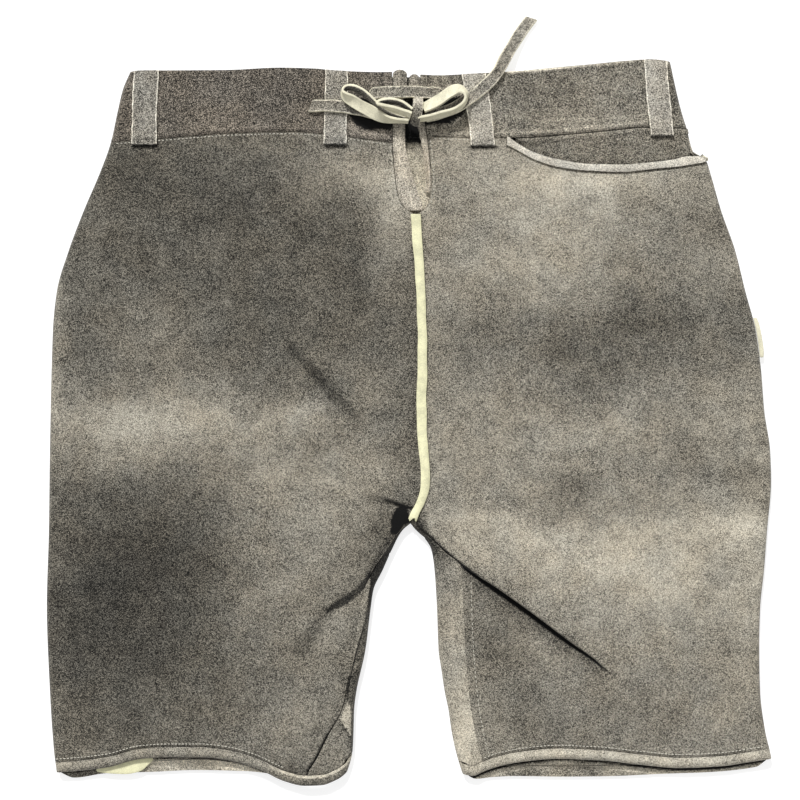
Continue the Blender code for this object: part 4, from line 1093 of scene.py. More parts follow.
# Patches with clear edges on the strips: a level that replaces the one below, or a share that scales it.
# Most shares are painted shade: in the turns beside the crotch and along the edge of the left inseam.
STRIP_PATCHES = (
    {"share": 0.5, "corners": (
        (1, -67), (-2, -69), (-13, -82), (-28, -102), (-34, -122), (-24, -126), (-14, -96), (-2, -72),
    )},
    {"light": 126, "corners": (
        (-26.3, -106), (-26.7, -110.8), (-28.7, -127.8), (-32.1, -141.4), (-36.1, -155), (-40.3, -172),
        (-60, -172), (-60, -106),
    )},
    {"share": 0.2, "corners": (
        (-26.0, -104), (-26.2, -110.8), (-28.2, -127.8), (-31.6, -141.4), (-35.6, -155), (-39.8, -172),
        (-42.4, -185.6), (-43.4, -185.6), (-40.8, -172), (-36.6, -155), (-32.6, -141.4), (-29.2, -127.8),
        (-27.2, -110.8), (-27.2, -104),
    )},
    {"share": 0.58, "corners": (
        (0, -66), (8, -72), (16, -79), (20, -86), (16, -92), (10, -84), (2, -74),
    )},
    {"share": 0.62, "corners": (
        (-36, -166), (-46, -180), (-46, -190), (-42.5, -191), (-40.2, -194), (-40.2, -226), (-30, -226),
        (-30, -166),
    )},
    {"light": 168, "corners": (
        (-42.6, -191), (-40.2, -194), (-40.2, -213.5), (-44.2, -207.6), (-47.4, -203.3), (-45.4, -197),
    )},
    {"share": 0.5, "corners": (
        (-47.4, -203.3), (-44.0, -207.2), (-40.0, -213.5), (-40.0, -215.4), (-44.8, -208.6),
        (-48.6, -204.2),
    )},
)
back("left", 116)
back("right", 142)

# %% [markdown]
# ## Hem bands
# Each leg opening ends in a narrow band that is doubled over and sewn, so it lies like a soft roll.
# One ring makes it: over the front, round the inner fold, back under the leg and round the outer
# fold. Across its depth the ring swells in the middle and drops at both edges, which is what a turned
# edge does and what catches a light line along the bottom.

# %% Hem bands
HEM_START, HEM_SETTLING = -220 * MM, 60  # a first guess at the height of a corner, and rounds to settle it


def ends_at(lines, edge, up):
    """Where a hem line, raised by a share of the band's height, meets a side line."""
    y = HEM_START
    for _ in range(HEM_SETTLING):
        y = 0.6 * y + 0.4 * (follow(lines, "x", follow(edge, "y", y)) + up * HEM_HEIGHT)
    return float(follow(edge, "y", y))


def hem(side, base, clouds):
    left = side == "left"
    sign, outer, inner, hem_back, hem_front = lines_of(side, "sign outer inner hem_back hem_front")
    edges = {True: hem_front, False: hem_back}
    turn = ROUND * (1 - np.cos(np.radians([0, 15, 30, 45, 60, 75, 90])))
    rows = []
    for up in (1.0, 0.97, 0.93, 0.87, 0.78, 0.67, 0.55, 0.42, 0.29, 0.18, 0.10, 0.04, 0.0):
        parts = []
        for front in (True, False):
            ends = [ends_at(edges[front], edge, up) for edge in (outer, inner)]
            flat = np.linspace(ends[0] + sign * ROUND, ends[1] - sign * ROUND, 116)[1:-1]
            x = np.concatenate([ends[0] + sign * turn, flat, (ends[1] - sign * turn)[::-1]])
            y = follow(edges[front], "x", x) + up * HEM_HEIGHT
            z = skin(x, y, front, fine=False)
            if front:
                level = smoothstep(away_from(x, y, FOLD_LINES), 0.5 * MM, 5 * MM)
                ripple = 0.16 * np.sin(x / (3.1 * MM) + 1.7 * np.sin(x / (11 * MM)))
                roll = (1.3 + ripple) * math.sin(math.pi * up) ** 0.6 - 1.0 * math.exp(-((up / 0.09) ** 2))
                z = z + level * MM * roll
                z = z - level * 0.25 * MM * math.exp(-(((1 - up) / 0.07) ** 2))
            parts.append(raised(x, y, z))
        rows.append(np.concatenate([parts[0], parts[1][::-1][1:-1]]))
    grid = np.array(rows)
    x, y = grid[..., 0], grid[..., 1]
    low = y - follow(edges[True], "x", x)
    # Painted highlight along the upper middle of the front roll.
    level = clouded(x, y, base, clouds) + 22 * bell(low - 4.4 * MM, 2.2 * MM)
    if left:  # the roll turns its light upper edge to the front beside the inseam
        edge = smoothstep(low, 4.9 * MM, 5.5 * MM) * smoothstep(x, -100 * MM, -84 * MM)
        level = level * (1 - edge) + 188 * edge
    lit = hide_colour(inner_light_and_shadow(x, y, side))
    leather(
        "hem_" + side, grid, HEM_LEATHER, hide_colour(level),
        rim=SUEDE, closed=True, bevel=0.4, reverse=INSIDE, inside=lit,
    )


HEM_LEFT_CLOUDS = table(
    "x y wide tall lighter",
    (-236, -235, 10, 20, 14), (-130, -230, 30, 20, 10), (-60, -240, 20, 20, -18),
)
HEM_RIGHT_CLOUDS = table(
    "x y wide tall lighter",
    (90, -232, 50, 20, 16), (200, -236, 40, 20, 12), (40, -240, 12, 20, -14),
)
hem("left", 115, HEM_LEFT_CLOUDS)
hem("right", 150, HEM_RIGHT_CLOUDS)

# %% [markdown]
# ## Waistband
# The waistband is one straight strip to a side, sewn to the top of the panels and closed at the fly.
# Its seam has a row of stitches a few millimetres above it, so the cloth between them is puffed up a
# little. Beside the fly the lace has gathered the band into upright ripples.

# %% Waistband
BAND_SEAMS = [line_of(rows, "x", 60) + [0, 4.6 * MM] for rows in (WAIST_LEFT, WAIST_RIGHT)]
GATHERS = table(
    "x y tall wide deep",
    (25, 216, 22, 17, 0.55), (-24, 222, 16, 12, 0.25),
)
BAND_CLOUDS = table(
    "x y wide tall lighter",
    (-196, 215, 8, 30, -12), (-100, 226, 40, 14, -8), (-120, 200, 60, 6, 14), (-60, 208, 18, 16, -4),
    (-30, 196, 18, 6, 34), (34, 198, 26, 7, 30), (80, 226, 30, 12, -14), (110, 206, 40, 5, 18),
    (124, 224, 24, 10, 8), (176, 220, 9, 26, -24), (150, 200, 30, 5, 10), (24, 230, 14, 8, 6),
    (26, 226, 22, 10, 22), (-30, 232, 26, 6, 6),
)
# Thin lines on the band: painted highlights along the ridge beside the seam, a light stitched line, and
# painted shade in the pleats beside the fly.
BAND_LIGHT_AND_SHADE_LINES = table(
    "x1 y1 x2 y2 lighter wide",
    (62, 196.2, 106, 198.8, 34, 1.5), (106, 198.8, 160, 203.8, 30, 1.5),
    (88, 204.3, 124, 206.2, 30, 0.9), (124, 206.2, 156, 208.4, 22, 0.9),
    (-19, 236, -19.6, 229, -44, 1.2), (12.2, 235, 12.6, 227, -44, 1.2), (20.4, 235, 21, 229, -38, 1.1),
    (28.6, 235.5, 29, 229, -34, 1.2), (34.7, 237, 34, 230, -44, 1.1), (13.4, 199, 13, 195, -44, 1.0),
    (19, 200, 18.6, 196, -30, 1.0), (27, 200.5, 26.6, 196, -30, 1.0),
)
BOW_SHADE = (
    {"share": 0.12, "corners": (
        (-41.5, 209), (-40, 206), (-36, 200.6), (-30, 198.4), (-20, 198.2), (-12, 198.9), (-3, 200),
        (14, 202), (26, 202), (31, 204.6), (36, 208.6), (39, 213), (36, 220.6), (16, 220.6), (-24, 220.6),
        (-41.5, 219),
    )},
)


def band_height(side, x, up):
    """Height (y) of a point on the front of the waistband, by the share of the band's depth."""
    seam, top = lines_of(side, "waist band_top")
    return (follow(seam, "x", x) + GAP) * (1 - up) + follow(top, "x", x) * up


def band_skin(x, y):
    """The fine skin with a groove at the row of stitches and ripples that are deepest beside the fly."""
    z = skin(x, y, True) - 0.35 * MM * bell(away_from(x, y, BAND_SEAMS), 0.9 * MM)
    above = y - np.where(x < 0, follow(WAIST_LEFT, "x", x), follow(WAIST_RIGHT, "x", x))
    z = z + 0.55 * MM * bell(above - 2.4 * MM, 1.5 * MM)
    for cx, cy, tall, wide, deep in zip(*GATHERS.values(), strict=True):
        near = np.exp(-(((x - cx) / wide) ** 2) - ((y - cy) / tall) ** 2)
        z = z + deep * near * np.sin(2 * math.pi * (x + 0.12 * (y - cy)) / (6.4 * MM))
    return z


BAND_START = 0.2  # a first guess at the height of the band's outer corner


def waistband(side, base):
    sign, outer, fly, band_top = lines_of(side, "sign outer fly band_top")
    angles = np.radians([90, 75, 60, 45, 30, 15, 0])
    rows = []
    for up in spaced(44 * MM, 1.8 * MM):
        y = BAND_START
        for _ in range(TURN_SETTLING):
            y = 0.5 * y + 0.5 * float(band_height(side, follow(outer, "y", y), up))
        edge = float(follow(outer, "y", y))
        fly_x = float(follow(fly, "y", band_height(side, -sign * 10 * MM, up))) - sign * GAP / 2
        turn = edge + sign * ROUND * (1 - np.cos(angles))
        front_x = np.concatenate([np.linspace(fly_x, turn[0], 110)[:-1], turn])
        back_x = np.concatenate([turn[::-1][1:], np.linspace(turn[0], -sign * GAP / 2, 30)[1:]])
        front_y = band_height(side, front_x, up)
        foot = follow(WAIST_BACK, "x", back_x) + GAP
        back_y = foot * (1 - up) + follow(BAND_TOP_BACK, "x", back_x) * up
        front = raised(front_x, front_y, band_skin(front_x, front_y))
        behind = raised(back_x, back_y, skin(back_x, back_y, False, fine=False))
        rows.append(np.concatenate([front, behind]))
    grid = np.array(rows)
    x, y = grid[..., 0], grid[..., 1]
    top = follow(band_top, "x", x) - y
    band_light_and_shade = sum(lighter * near for lighter, near in strokes(x, y, BAND_LIGHT_AND_SHADE_LINES))
    line = smoothstep(x, 62 * MM, 70 * MM) * (1 - 0.5 * smoothstep(x, 95 * MM, 130 * MM))
    line = 145 * (line * (1 - smoothstep(x, 154 * MM, 160 * MM))) + 20 * (x < -120 * MM)
    level = patched(x, y, clouded(x, y, base, BAND_CLOUDS) + band_light_and_shade, BOW_SHADE)
    level = level + line * bell(top, 1.2 * MM)
    level = np.minimum(level, 226) - 0.14 * line * bell(top - 2.6 * MM, 1.2 * MM)
    # Painted shadow on the band's inside face near the fly: black close to it, the hide's level further
    # off.
    far = np.hypot(x - 1.5 * MM, y - 199 * MM)
    dark = hide_colour(14 + 84 * smoothstep(far, 11 * MM, 18 * MM))
    colour = hide_colour(level, 1.0, 0.022 if side == "left" else 0.0)
    leather("waistband_" + side, grid, LEATHER, colour, TRIM, SUEDE, reverse=INSIDE, inside=dark)


waistband("left", 90)
waistband("right", 115)

# %% [markdown]
# ## Belt loops
# A loop is a strip of the same hide. Its cut edges show the pale inside as two light lines, which is
# half of what makes it read as leather, so the outer columns of the grid are painted pale. It starts
# just under the waist seam and ends level with the band's top edge, where it is sewn in.

# %% Belt loops
LOOPS = table(
    "x_top x_foot y_foot width",
    (-179.0, -180.8, 188.2, 17.0), (-50.0, -50.6, 188.4, 15.6), (43.5, 49.6, 187.6, 16.5),
    (166.6, 171.0, 194.4, 15.8),
)
LOOP_LENGTH = 48
PALE = 246


def light_edges(level, across, pale):
    """Display levels with a pale cut edge on both sides, by the place across from -1 to 1."""
    edge = smoothstep(np.abs(across), 0.87, 0.94) * pale
    return level * (1 - edge) + PALE * edge


def belt_loop(number, base):
    row = {name: column[number - 1] for name, column in LOOPS.items()}
    side = "left" if row["x_top"] < 0 else "right"
    share = np.array([-1, -0.94, -0.88, -0.6, -0.3, 0, 0.3, 0.6, 0.88, 0.94, 1])
    grid = []
    for up in spaced(LOOP_LENGTH * MM, 1.4 * MM):
        worn = 0.018 * np.sin(40 * up + 2 * share + number) + 0.02 * math.sin(9 * up + number)
        x = row["x_foot"] * (1 - up) + row["x_top"] * up + share / 2 * row["width"] * (1 + worn)
        x = x + 0.3 * MM * math.sin(5 * up + 2 * number)
        y = row["y_foot"] * (1 - up) + band_height(side, x, 1.0) * up
        y = y + 0.35 * MM * np.sin(7 * share + number) * (1 - smoothstep(up, 0, 0.08))
        level = float(skin(x, y, True, fine=False).max()) + GAP + LOOP_LEATHER
        crown = 0.35 * (1 - share**2) - 0.45 * bell(up * LOOP_LENGTH * MM - 2.6 * MM, 0.8 * MM)
        crown = crown - 0.5 * smoothstep(up, 0.95, 1.0)
        grid.append(raised(x, y, level + MM * (crown + 0.25 * math.sin(7 * up + number))))
    grid = np.array(grid)
    x, y = grid[..., 0], grid[..., 1]
    level = clouded(x, y, base, BAND_CLOUDS)
    # Painted shade in the groove just above the foot, and painted shadow along the foot's edge.
    foot = (y - row["y_foot"]) / MM
    level = level * (1 - 0.22 * bell(foot - 2.6, 0.9))
    pale = 0.85 + 0.15 * np.sin(y / (2.3 * MM) + 5 * share + number)
    level = light_edges(level, share, pale) * (1 - 0.6 * bell(foot, 0.6))
    leather(
        f"belt_loop_{number}", grid, LOOP_LEATHER, hide_colour(level, 0.76), TRIM, SUEDE,
        bevel=0.3,
    )


for number, base in enumerate((132, 133, 156, 164), 1):
    belt_loop(number, base)

# %% [markdown]
# ## Fly
# Under the lace the fly stands a little open. A rolled strip runs down each side of the slit, and the
# left one is wide and goes on up past the band. Behind them lies a thin gusset that the lace has drawn
# into slanting pleats. The strips are swollen across and the gusset is sunk under both.

# %% Fly
FACING_SHADE = ({"share": 0.14, "corners": ((-4, 221), (2.6, 221), (2.6, 210), (-4, 210))},)


def fly_facing(side, base):
    left = side == "left"
    sign, free, fly = lines_of(side, "sign facing fly")
    share = spaced(100 * MM, 1.5 * MM)[:, None]
    across = (1 - np.cos(math.pi * np.linspace(0, 1, 13)))[None, :] / 2
    low, high = (143.6, 239.2) if left else (156, 236.2)
    rounding = 3.2 * MM * (1 - np.sqrt(np.clip(1 - (2 * across - 1) ** 2, 0, 1)))
    y = low * MM * (1 - share) + high * MM * share - rounding * smoothstep(share, 0.9, 1)
    seam = follow(fly, "y", y) + sign * GAP
    edge = follow(free, "y", y)
    if left:
        edge = np.minimum(edge, follow(FLY_RIGHT, "y", y) - GAP)
    x = seam * (1 - across) + edge * across
    roll = np.minimum(1.5 * MM, 0.16 * np.abs(seam - edge))
    pleat = 0.22 * MM * np.sin(y / (5.3 * MM) + 3 * across) * np.sin(math.pi * across)
    z = skin(x, y, True) + roll * np.sin(math.pi * across) ** 0.8 + pleat
    z = z - 0.5 * MM * bell(across - 0.86, 0.07)
    grid = raised(x, y, z)
    level = base + (30 if left else 44) * smoothstep(-y, -200 * MM, -194 * MM)
    level = level + 14 * np.sin(math.pi * across) - 8 * smoothstep(y, 222 * MM, 232 * MM)
    level = patched(x, y, level, FACING_SHADE)
    leather(
        "fly_facing_" + side, grid, FACING_LEATHER, hide_colour(level, 1.0, 0.01), TRIM, SUEDE,
        bevel=0.7,
    )


def fly_gusset():
    y = np.linspace(138, 192, 50)[:, None] * MM
    across = np.linspace(0, 1, 36)[None, :]
    x = (follow(FLY_LEFT, "y", y) - 4 * MM) * (1 - across) + (follow(FLY_RIGHT, "y", y) + 4 * MM) * across
    slant = (x - 0.33 * (190 * MM - y)) / MM
    open_part = np.sin(math.pi * across) ** 2
    pleats = 0.9 * bell(slant + 6.5, 1.3) + 0.5 * bell(slant + 2.5, 1.0)
    pleats = pleats + 0.35 * np.sin(slant * 1.3 + y / (9 * MM))
    z = skin(x, y, True, fine=False) - FACING_LEATHER - GAP - 0.7 * MM + MM * open_part * (pleats - 0.7)
    grid = raised(x, y, z)
    # Painted highlight on the pleats' ridges, and painted shade that darkens the gusset towards its top and
    # turns it black under the band and the knot.
    level = 176 + 12 * pleats + 14 * smoothstep(-y, -160 * MM, -145 * MM)
    level = level - 30 * smoothstep(y, 172 * MM, 184 * MM)
    level = level * (1 - 0.85 * smoothstep(y, 189 * MM, 191 * MM))
    leather("fly_gusset", grid, THIN_LEATHER, hide_colour(level, 1.15), TRIM)


fly_facing("left", 134)
fly_facing("right", 128)
fly_gusset()

# %% [markdown]
# ## Piping, pocket and tabs
# A cream strip covers the centre seam from the foot of the fly to the crotch. It is thick at the
# middle and thin at its stitched edges. The pocket's mouth is a shallow curve bound with a light
# strip, and behind it the pocket's own piece carries on up to the waist seam. Two little cream tabs
# look out of the side seam and the left hem.

# %% Piping, pocket and tabs
def seam_piping():
    share = spaced(207 * MM, 1.7 * MM)[:, None]
    across = np.array([-1, -0.94, -0.8, -0.5, 0, 0.5, 0.8, 0.94, 1])[None, :]
    ragged = (1.3 * np.sin(4.2 * across + 0.6) + 0.5 * np.sin(13 * across)) * np.exp(-share * 60)
    y = share * 207.2 * MM - 66 * MM + ragged * MM
    wave = 0.35 * MM * np.sin(y / (13 * MM)) + 0.12 * MM * np.sin(y / (4.1 * MM))
    width = PIPING_WIDTH * (0.96 + 0.05 * np.sin(y / (21 * MM) + 1) + 0.02 * np.sin(y / (3.7 * MM)))
    x = follow(CENTRE_FRONT, "y", y) + across * width / 2 + wave
    z = skin(x, y, True, fine=False) + GAP + PIPING_LEATHER + 1.1 * MM * (1 - across**2)
    grid = raised(x, y, z + 0.15 * MM * np.sin(y / (6 * MM)))
    leather(
        "front_seam_piping", grid, PIPING_LEATHER, UNPAINTED, CREAM, CREAM,
        bevel=0.25,
    )


def pocket_back():
    x = np.concatenate([np.linspace(72, 187, 84), [189.2, 190.5]])[None, :] * MM
    down = spaced(36 * MM, 1.5 * MM)[:, None]
    top = follow(WAIST_RIGHT, "x", x) - GAP
    mouth = front_top(x)
    tucked = 11 * MM * smoothstep(x, 68 * MM, 84 * MM) * (1 - smoothstep(x, 183 * MM, 190 * MM))
    y = top - ((top - mouth) + tucked) * down
    sunk = (LEATHER + 2 * GAP) * smoothstep(top - y, 0, np.maximum(top - mouth, 4 * MM) - 1.2 * MM)
    x = np.minimum(x, follow(SIDE_RIGHT, "y", y) - 1.2 * MM)
    z = skin(x, y, True) - sunk
    grid = raised(x, y, z)
    level = 117 + 10 * bell(top - y - 1.4 * MM, MM) - 16 * bell(top - y - 3.8 * MM, 1.2 * MM)
    # Painted shadow under the binding along the pocket's mouth.
    level = level - 34 * bell(y - mouth, 2.6 * MM) * (1 - smoothstep(x, 178 * MM, 187 * MM))
    level = level + 8 * bell(top - y - 7 * MM, 2 * MM)
    # Painted shadow under the foot of the fourth belt loop.
    level = level * (1 - 0.8 * bell(y - 193.6 * MM, 0.8 * MM) * (np.abs(x - 171.5 * MM) < 8 * MM))
    leather("pocket_back", grid, THIN_LEATHER, hide_colour(level), TRIM, SUEDE)


def pocket_binding():
    tip = [195.6, 197, 198.3, 199.5, 200.6, 201.4, 201.8]
    x = np.append(np.linspace(66, 194, 106), tip)[None, :] * MM
    down = np.array([0, 0.06, 0.18, 0.36, 0.58, 0.8, 0.93, 1])[:, None]
    lie = smoothstep(x, 66 * MM, 74 * MM)
    width = BINDING_WIDTH * (1.03 + 0.05 * np.sin(x / (7 * MM)))
    width = width * (1 - 0.12 * smoothstep(x, 198 * MM, 202 * MM))
    y = front_top(x) + 0.1 * MM - width * down - 1.9 * MM * smoothstep(x, 197.5 * MM, 202 * MM) * (1 - down)
    y = y + (1.2 * (1 - lie) + 1.0 * bell(x - 187 * MM, 6 * MM)) * MM * (1 - down)
    z = skin(x, y, True, fine=False) + GAP + BINDING_LEATHER
    grid = raised(x, y, z + 0.6 * MM * np.sin(math.pi * (0.15 + 0.8 * down)))
    level = 195 + 8 * np.sin(x / (9 * MM)) - 10 * (np.abs(down - 0.5) > 0.42)
    level = level + 12 * smoothstep(x, 150 * MM, 190 * MM)
    leather(
        "pocket_binding", grid, BINDING_LEATHER, hide_colour(level, 0.75), None, EDGE,
        bevel=0.3,
    )


def side_tab():
    y = np.linspace(44, 71, 16)[:, None] * MM
    across = np.linspace(0, 1, 6)[None, :]
    out = 3.2 * MM * across * (1 - 0.25 * ((y - 57.5 * MM) / (13.5 * MM)) ** 6)
    x = follow(SIDE_RIGHT, "y", y) + GAP + out
    z = ROUND + TAB_LEATHER / 2 + 0.25 * MM * np.sin(y / (4 * MM)) * across
    leather(
        "side_tab_right", raised(x, y, z), TAB_LEATHER, UNPAINTED, LACE_CREAM, LACE_CREAM,
    )


def hem_tab():
    x = np.linspace(-213.5, -175, 28)[None, :] * MM
    edge = table(
        "x y",
        (-213.5, -237.8), (-210.8, -238.4), (-202.6, -239.4), (-193.8, -239.7), (-185.6, -238.4),
        (-181.6, -236.6), (-178.2, -233.4), (-175, -230.4),
    )
    near = follow(edge, "x", x)
    far = follow(HEM_FRONT_LEFT, "x", x) + 7 * MM
    share = np.linspace(0, 1, 8)[:, None]
    height = skin(x, far, True, fine=False).min() - HEM_LEATHER - 2 * GAP
    grid = raised(x, near * (1 - share) + far * share, height + 0 * x * share)
    leather("hem_tab_left", grid, TAB_LEATHER, UNPAINTED, CREAM, CREAM)


seam_piping()
pocket_back()
pocket_binding()
side_tab()
hem_tab()

# %% [markdown]
# ## Lace
# The fly is tied with a flat lace, cut from hide that is grey on one face and pale on the other. It is
# tied in a bow, so each loop turns over and shows its pale side. Each length is a strip carried along
# a smooth path. A tilt turns it about its own length: at 0 it lies flat, and at 90 it stands on edge.
# The paths below are rows of x, y and z in millimetres with the tilt in degrees.

# %% The lace's paths
LACE = {
    "lace_bar": (
        (-27.3, 222.9, 9.4, 0), (-24, 223.2, 10.0, 0), (-12, 223.8, 10.6, 0), (0, 223.8, 10.9, 0),
        (12, 223.4, 10.6, 0), (19, 222.8, 10.0, 0), (22.6, 222.2, 9.4, 0),
    ),
    "lace_tail_left": (
        (-67.5, 214.6, 9.0, 0), (-62, 214.6, 9.6, 0), (-57.5, 214.5, 10.9, 0), (-50, 214.2, 10.9, 0),
        (-43, 213.4, 10.9, 0), (-37, 212.4, 9.4, 0), (-26, 210.2, 9.1, 0), (-14, 208.2, 9.4, 0),
        (-4.5, 207.2, 10.6, 0),
    ),
    "lace_tail_right": (
        (10.5, 207.4, 10.8, 0), (20, 209.6, 9.6, 0), (30, 213.0, 9.3, 0), (37, 217.2, 11.2, 8),
        (44, 222.0, 11.4, 6), (51, 228.0, 11.1, 0), (57, 234.0, 10.8, -8), (61, 240.0, 9.8, -14),
        (65.5, 249.0, 6.8, -10), (70.5, 257.5, 3.6, -4), (76, 266.0, 1.5, 0), (83.0, 275.4, 1.1, 0),
    ),
    "lace_loop_left": (
        (-1.0, 203.8, 15.6, 82), (-5, 204.0, 15.8, 82), (-9.5, 204.3, 15.8, 78), (-15, 205.0, 15.8, 62),
        (-20.3, 206.9, 15.8, 36), (-27, 210.4, 15.8, 14), (-33.8, 213.8, 16.2, 14),
        (-39.4, 217.4, 16.6, 30), (-43.6, 220.4, 17.2, 58), (-45.4, 223.4, 17.2, 84),
        (-43.2, 225.6, 17.2, 102), (-38.4, 225.6, 17.2, 108), (-33, 223.0, 17.2, 110),
        (-28.6, 219.8, 17.2, 108), (-25.2, 216.6, 17.2, 106), (-20.5, 212.4, 17.2, 104),
        (-15, 209.2, 17.2, 100), (-9, 207.0, 16.8, 96), (-3.4, 205.6, 16.4, 92),
    ),
    "lace_loop_inner": (
        (0.6, 206.6, 20.0, 58), (-6.8, 209.2, 20.2, 57), (-12.2, 210.9, 20.2, 62),
        (-16.8, 212.5, 20.2, 72), (-20.8, 213.9, 20.2, 80), (-22.0, 215.2, 20.2, 90),
        (-17.4, 216.2, 20.2, 102), (-10.4, 215.9, 20.2, 106), (-4.8, 214.0, 20.2, 104),
        (1.0, 210.2, 20.0, 98),
    ),
    "lace_loop_right": (
        (5.6, 205.0, 16.6, -76), (13.6, 206.3, 17.2, -74), (20.4, 208.1, 17.2, -72),
        (27.2, 210.0, 17.2, -74), (32.2, 212.5, 17.2, -78), (36.0, 215.6, 17.2, -80),
        (37.6, 219.6, 17.2, -80), (36.4, 223.2, 17.2, -62), (32.2, 224.8, 17.2, -36),
        (27.0, 222.6, 17.2, -22), (20.4, 218.0, 17.2, -20), (13.6, 214.2, 17.2, -24),
        (8.8, 211.8, 17.0, -34),
    ),
}
print("lengths of lace:", len(LACE))

# %% A strap along a path
def smooth_path(points, count):
    """count points along a curve through the given points (Catmull-Rom), even along its length."""
    ends = np.vstack([2 * points[0] - points[1], points, 2 * points[-1] - points[-2]])
    t = np.linspace(0, 1, 16, endpoint=False)[None, :, None]
    fine = between(*(ends[i : len(ends) - 3 + i, None] for i in range(4)), t)
    fine = np.vstack([fine.reshape(-1, ends.shape[1]), points[-1:]])
    length = np.concatenate([[0], np.cumsum(np.linalg.norm(np.diff(fine[:, :3], axis=0), axis=1))])
    at = np.linspace(0, length[-1], count)
    return np.stack([np.interp(at, length, fine[:, i]) for i in range(fine.shape[1])], axis=1)


def strap_grid(rows, count, width=LACE_WIDTH, slant=(0.0, 0.0), curl=0.5 * MM, ends=0.0):
    """Points of a flat strap: its path, plus a share of its width along the turned side direction.

    slant moves one edge of each cut end along the path, curl lifts both edges a little, and ends is the
    share of the strap that is rounded off to each end.
    """
    path = smooth_path(np.array(rows, float) * (MM, MM, MM, 1), count)
    centre, tilt = path[:, :3], np.radians(path[:, 3:4])
    forward = np.gradient(centre, axis=0)
    forward /= np.linalg.norm(forward, axis=1, keepdims=True)
    level = np.cross(forward, (0, 0, 1))
    level /= np.linalg.norm(level, axis=1, keepdims=True)
    across = level * np.cos(tilt) + np.cross(level, forward) * np.sin(tilt)
    outward = np.cross(across, forward)
    share = np.array([-1, -0.88, -0.74, -0.4, 0, 0.4, 0.74, 0.88, 1])[None, :, None]
    along = np.linspace(0, 1, count)[:, None, None]
    uneven = 1 + 0.035 * np.sin(31 * along) + 0.03 * np.sin(17 * along + 2 * share)
    if ends:
        past = np.clip((np.abs(2 * along - 1) - 1 + ends) / ends, 0, 0.93)
        uneven = uneven * np.sqrt(np.clip(1 - past**2, 0, 1))
    grid = centre[:, None] + across[:, None] * share * width / 2 * uneven
    grid = grid + outward[:, None] * curl * share**2
    shift = slant[0] * np.exp(-along * 14) + slant[1] * np.exp((along - 1) * 14)
    return grid + forward[:, None] * share * shift * MM, centre, share[0, :, 0]


def strap(name, count, level, pale_up=False, slant=(0.0, 0.0), ends=0.0):
    """A length of lace whose upper face is grey, or pale where it has turned over."""
    grid, centre, share = strap_grid(LACE[name], count, slant=slant, ends=ends)
    along = np.linspace(0, 1, count)[:, None]
    worn = 0.8 + 0.2 * np.sin(61 * along + 3 * share[None, :])
    edge = smoothstep(np.abs(share), 0.76, 0.9)[None, :] * worn
    tone = (level + 7 * np.sin(9 * along)) * (1 - edge) + 206 * edge
    face, reverse = (LACE_CREAM, LACE_SUEDE) if pale_up else (LACE_SUEDE, LACE_CREAM)
    hide = hide_colour(tone, 0.9)[::-1]
    leather(
        name, grid[::-1], LACE_THICK, hide, face, LACE_CREAM,
        up=None, offset=0, bevel=0.35, reverse=reverse,
    )
    return centre + SHIFT


STRANDS = {
    "lace_bar": strap("lace_bar", 60, 126, ends=0.14),
    "lace_tail_left": strap("lace_tail_left", 48, 122, slant=(-1.6, 0.0)),
    "lace_tail_right": strap("lace_tail_right", 80, 132, slant=(0.0, 1.4)),
    "lace_loop_left": strap("lace_loop_left", 84, 96, True),
    "lace_loop_right": strap("lace_loop_right", 76, 104, True),
    "lace_loop_inner": strap("lace_loop_inner", 56, 84, True),
}

# %% The knot
def knot():
    """The turn of lace that holds the bow: one short strap bent over the bundle like an arch."""
    rows = (
        (5.4, 219.4, 11.2, 0), (5.5, 217.2, 16.4, 2), (5.2, 213.6, 20.0, 3), (4.8, 209.4, 21.2, 3),
        (4.2, 205.6, 19.4, 2), (3.4, 202.4, 15.0, 0), (3.0, 201.2, 11.4, 0),
    )
    grid, _, share = strap_grid(rows, 30, width=6.2 * MM, curl=-0.8 * MM)
    edge = smoothstep(-share, 0.76, 0.9)[None, :] + 0.3 * smoothstep(share, 0.8, 0.95)[None, :]
    tone = (176 - 66 * smoothstep(np.linspace(0, 1, 30), 0.2, 0.5))[:, None] * (1 - edge) + 214 * edge
    leather(
        "lace_knot", grid, LACE_THICK, hide_colour(tone), LACE_SUEDE, LACE_CREAM,
        offset=0, bevel=0.35,
    )


knot()

# %% [markdown]
# ## Stitches
# Sewing shows as rows of short light dashes that lie in a shallow groove. A stitch is a capsule of a
# few faces: fat in the middle, sunk at both ends. All stitches of a row are one mesh, worked out at
# once from the row's line, so a thousand of them cost little. No two are quite alike.

# %% Stitches
RING = 6  # corners round a stitch


def left_of(ways):
    return np.stack([-ways[:, 1], ways[:, 0]], axis=1)


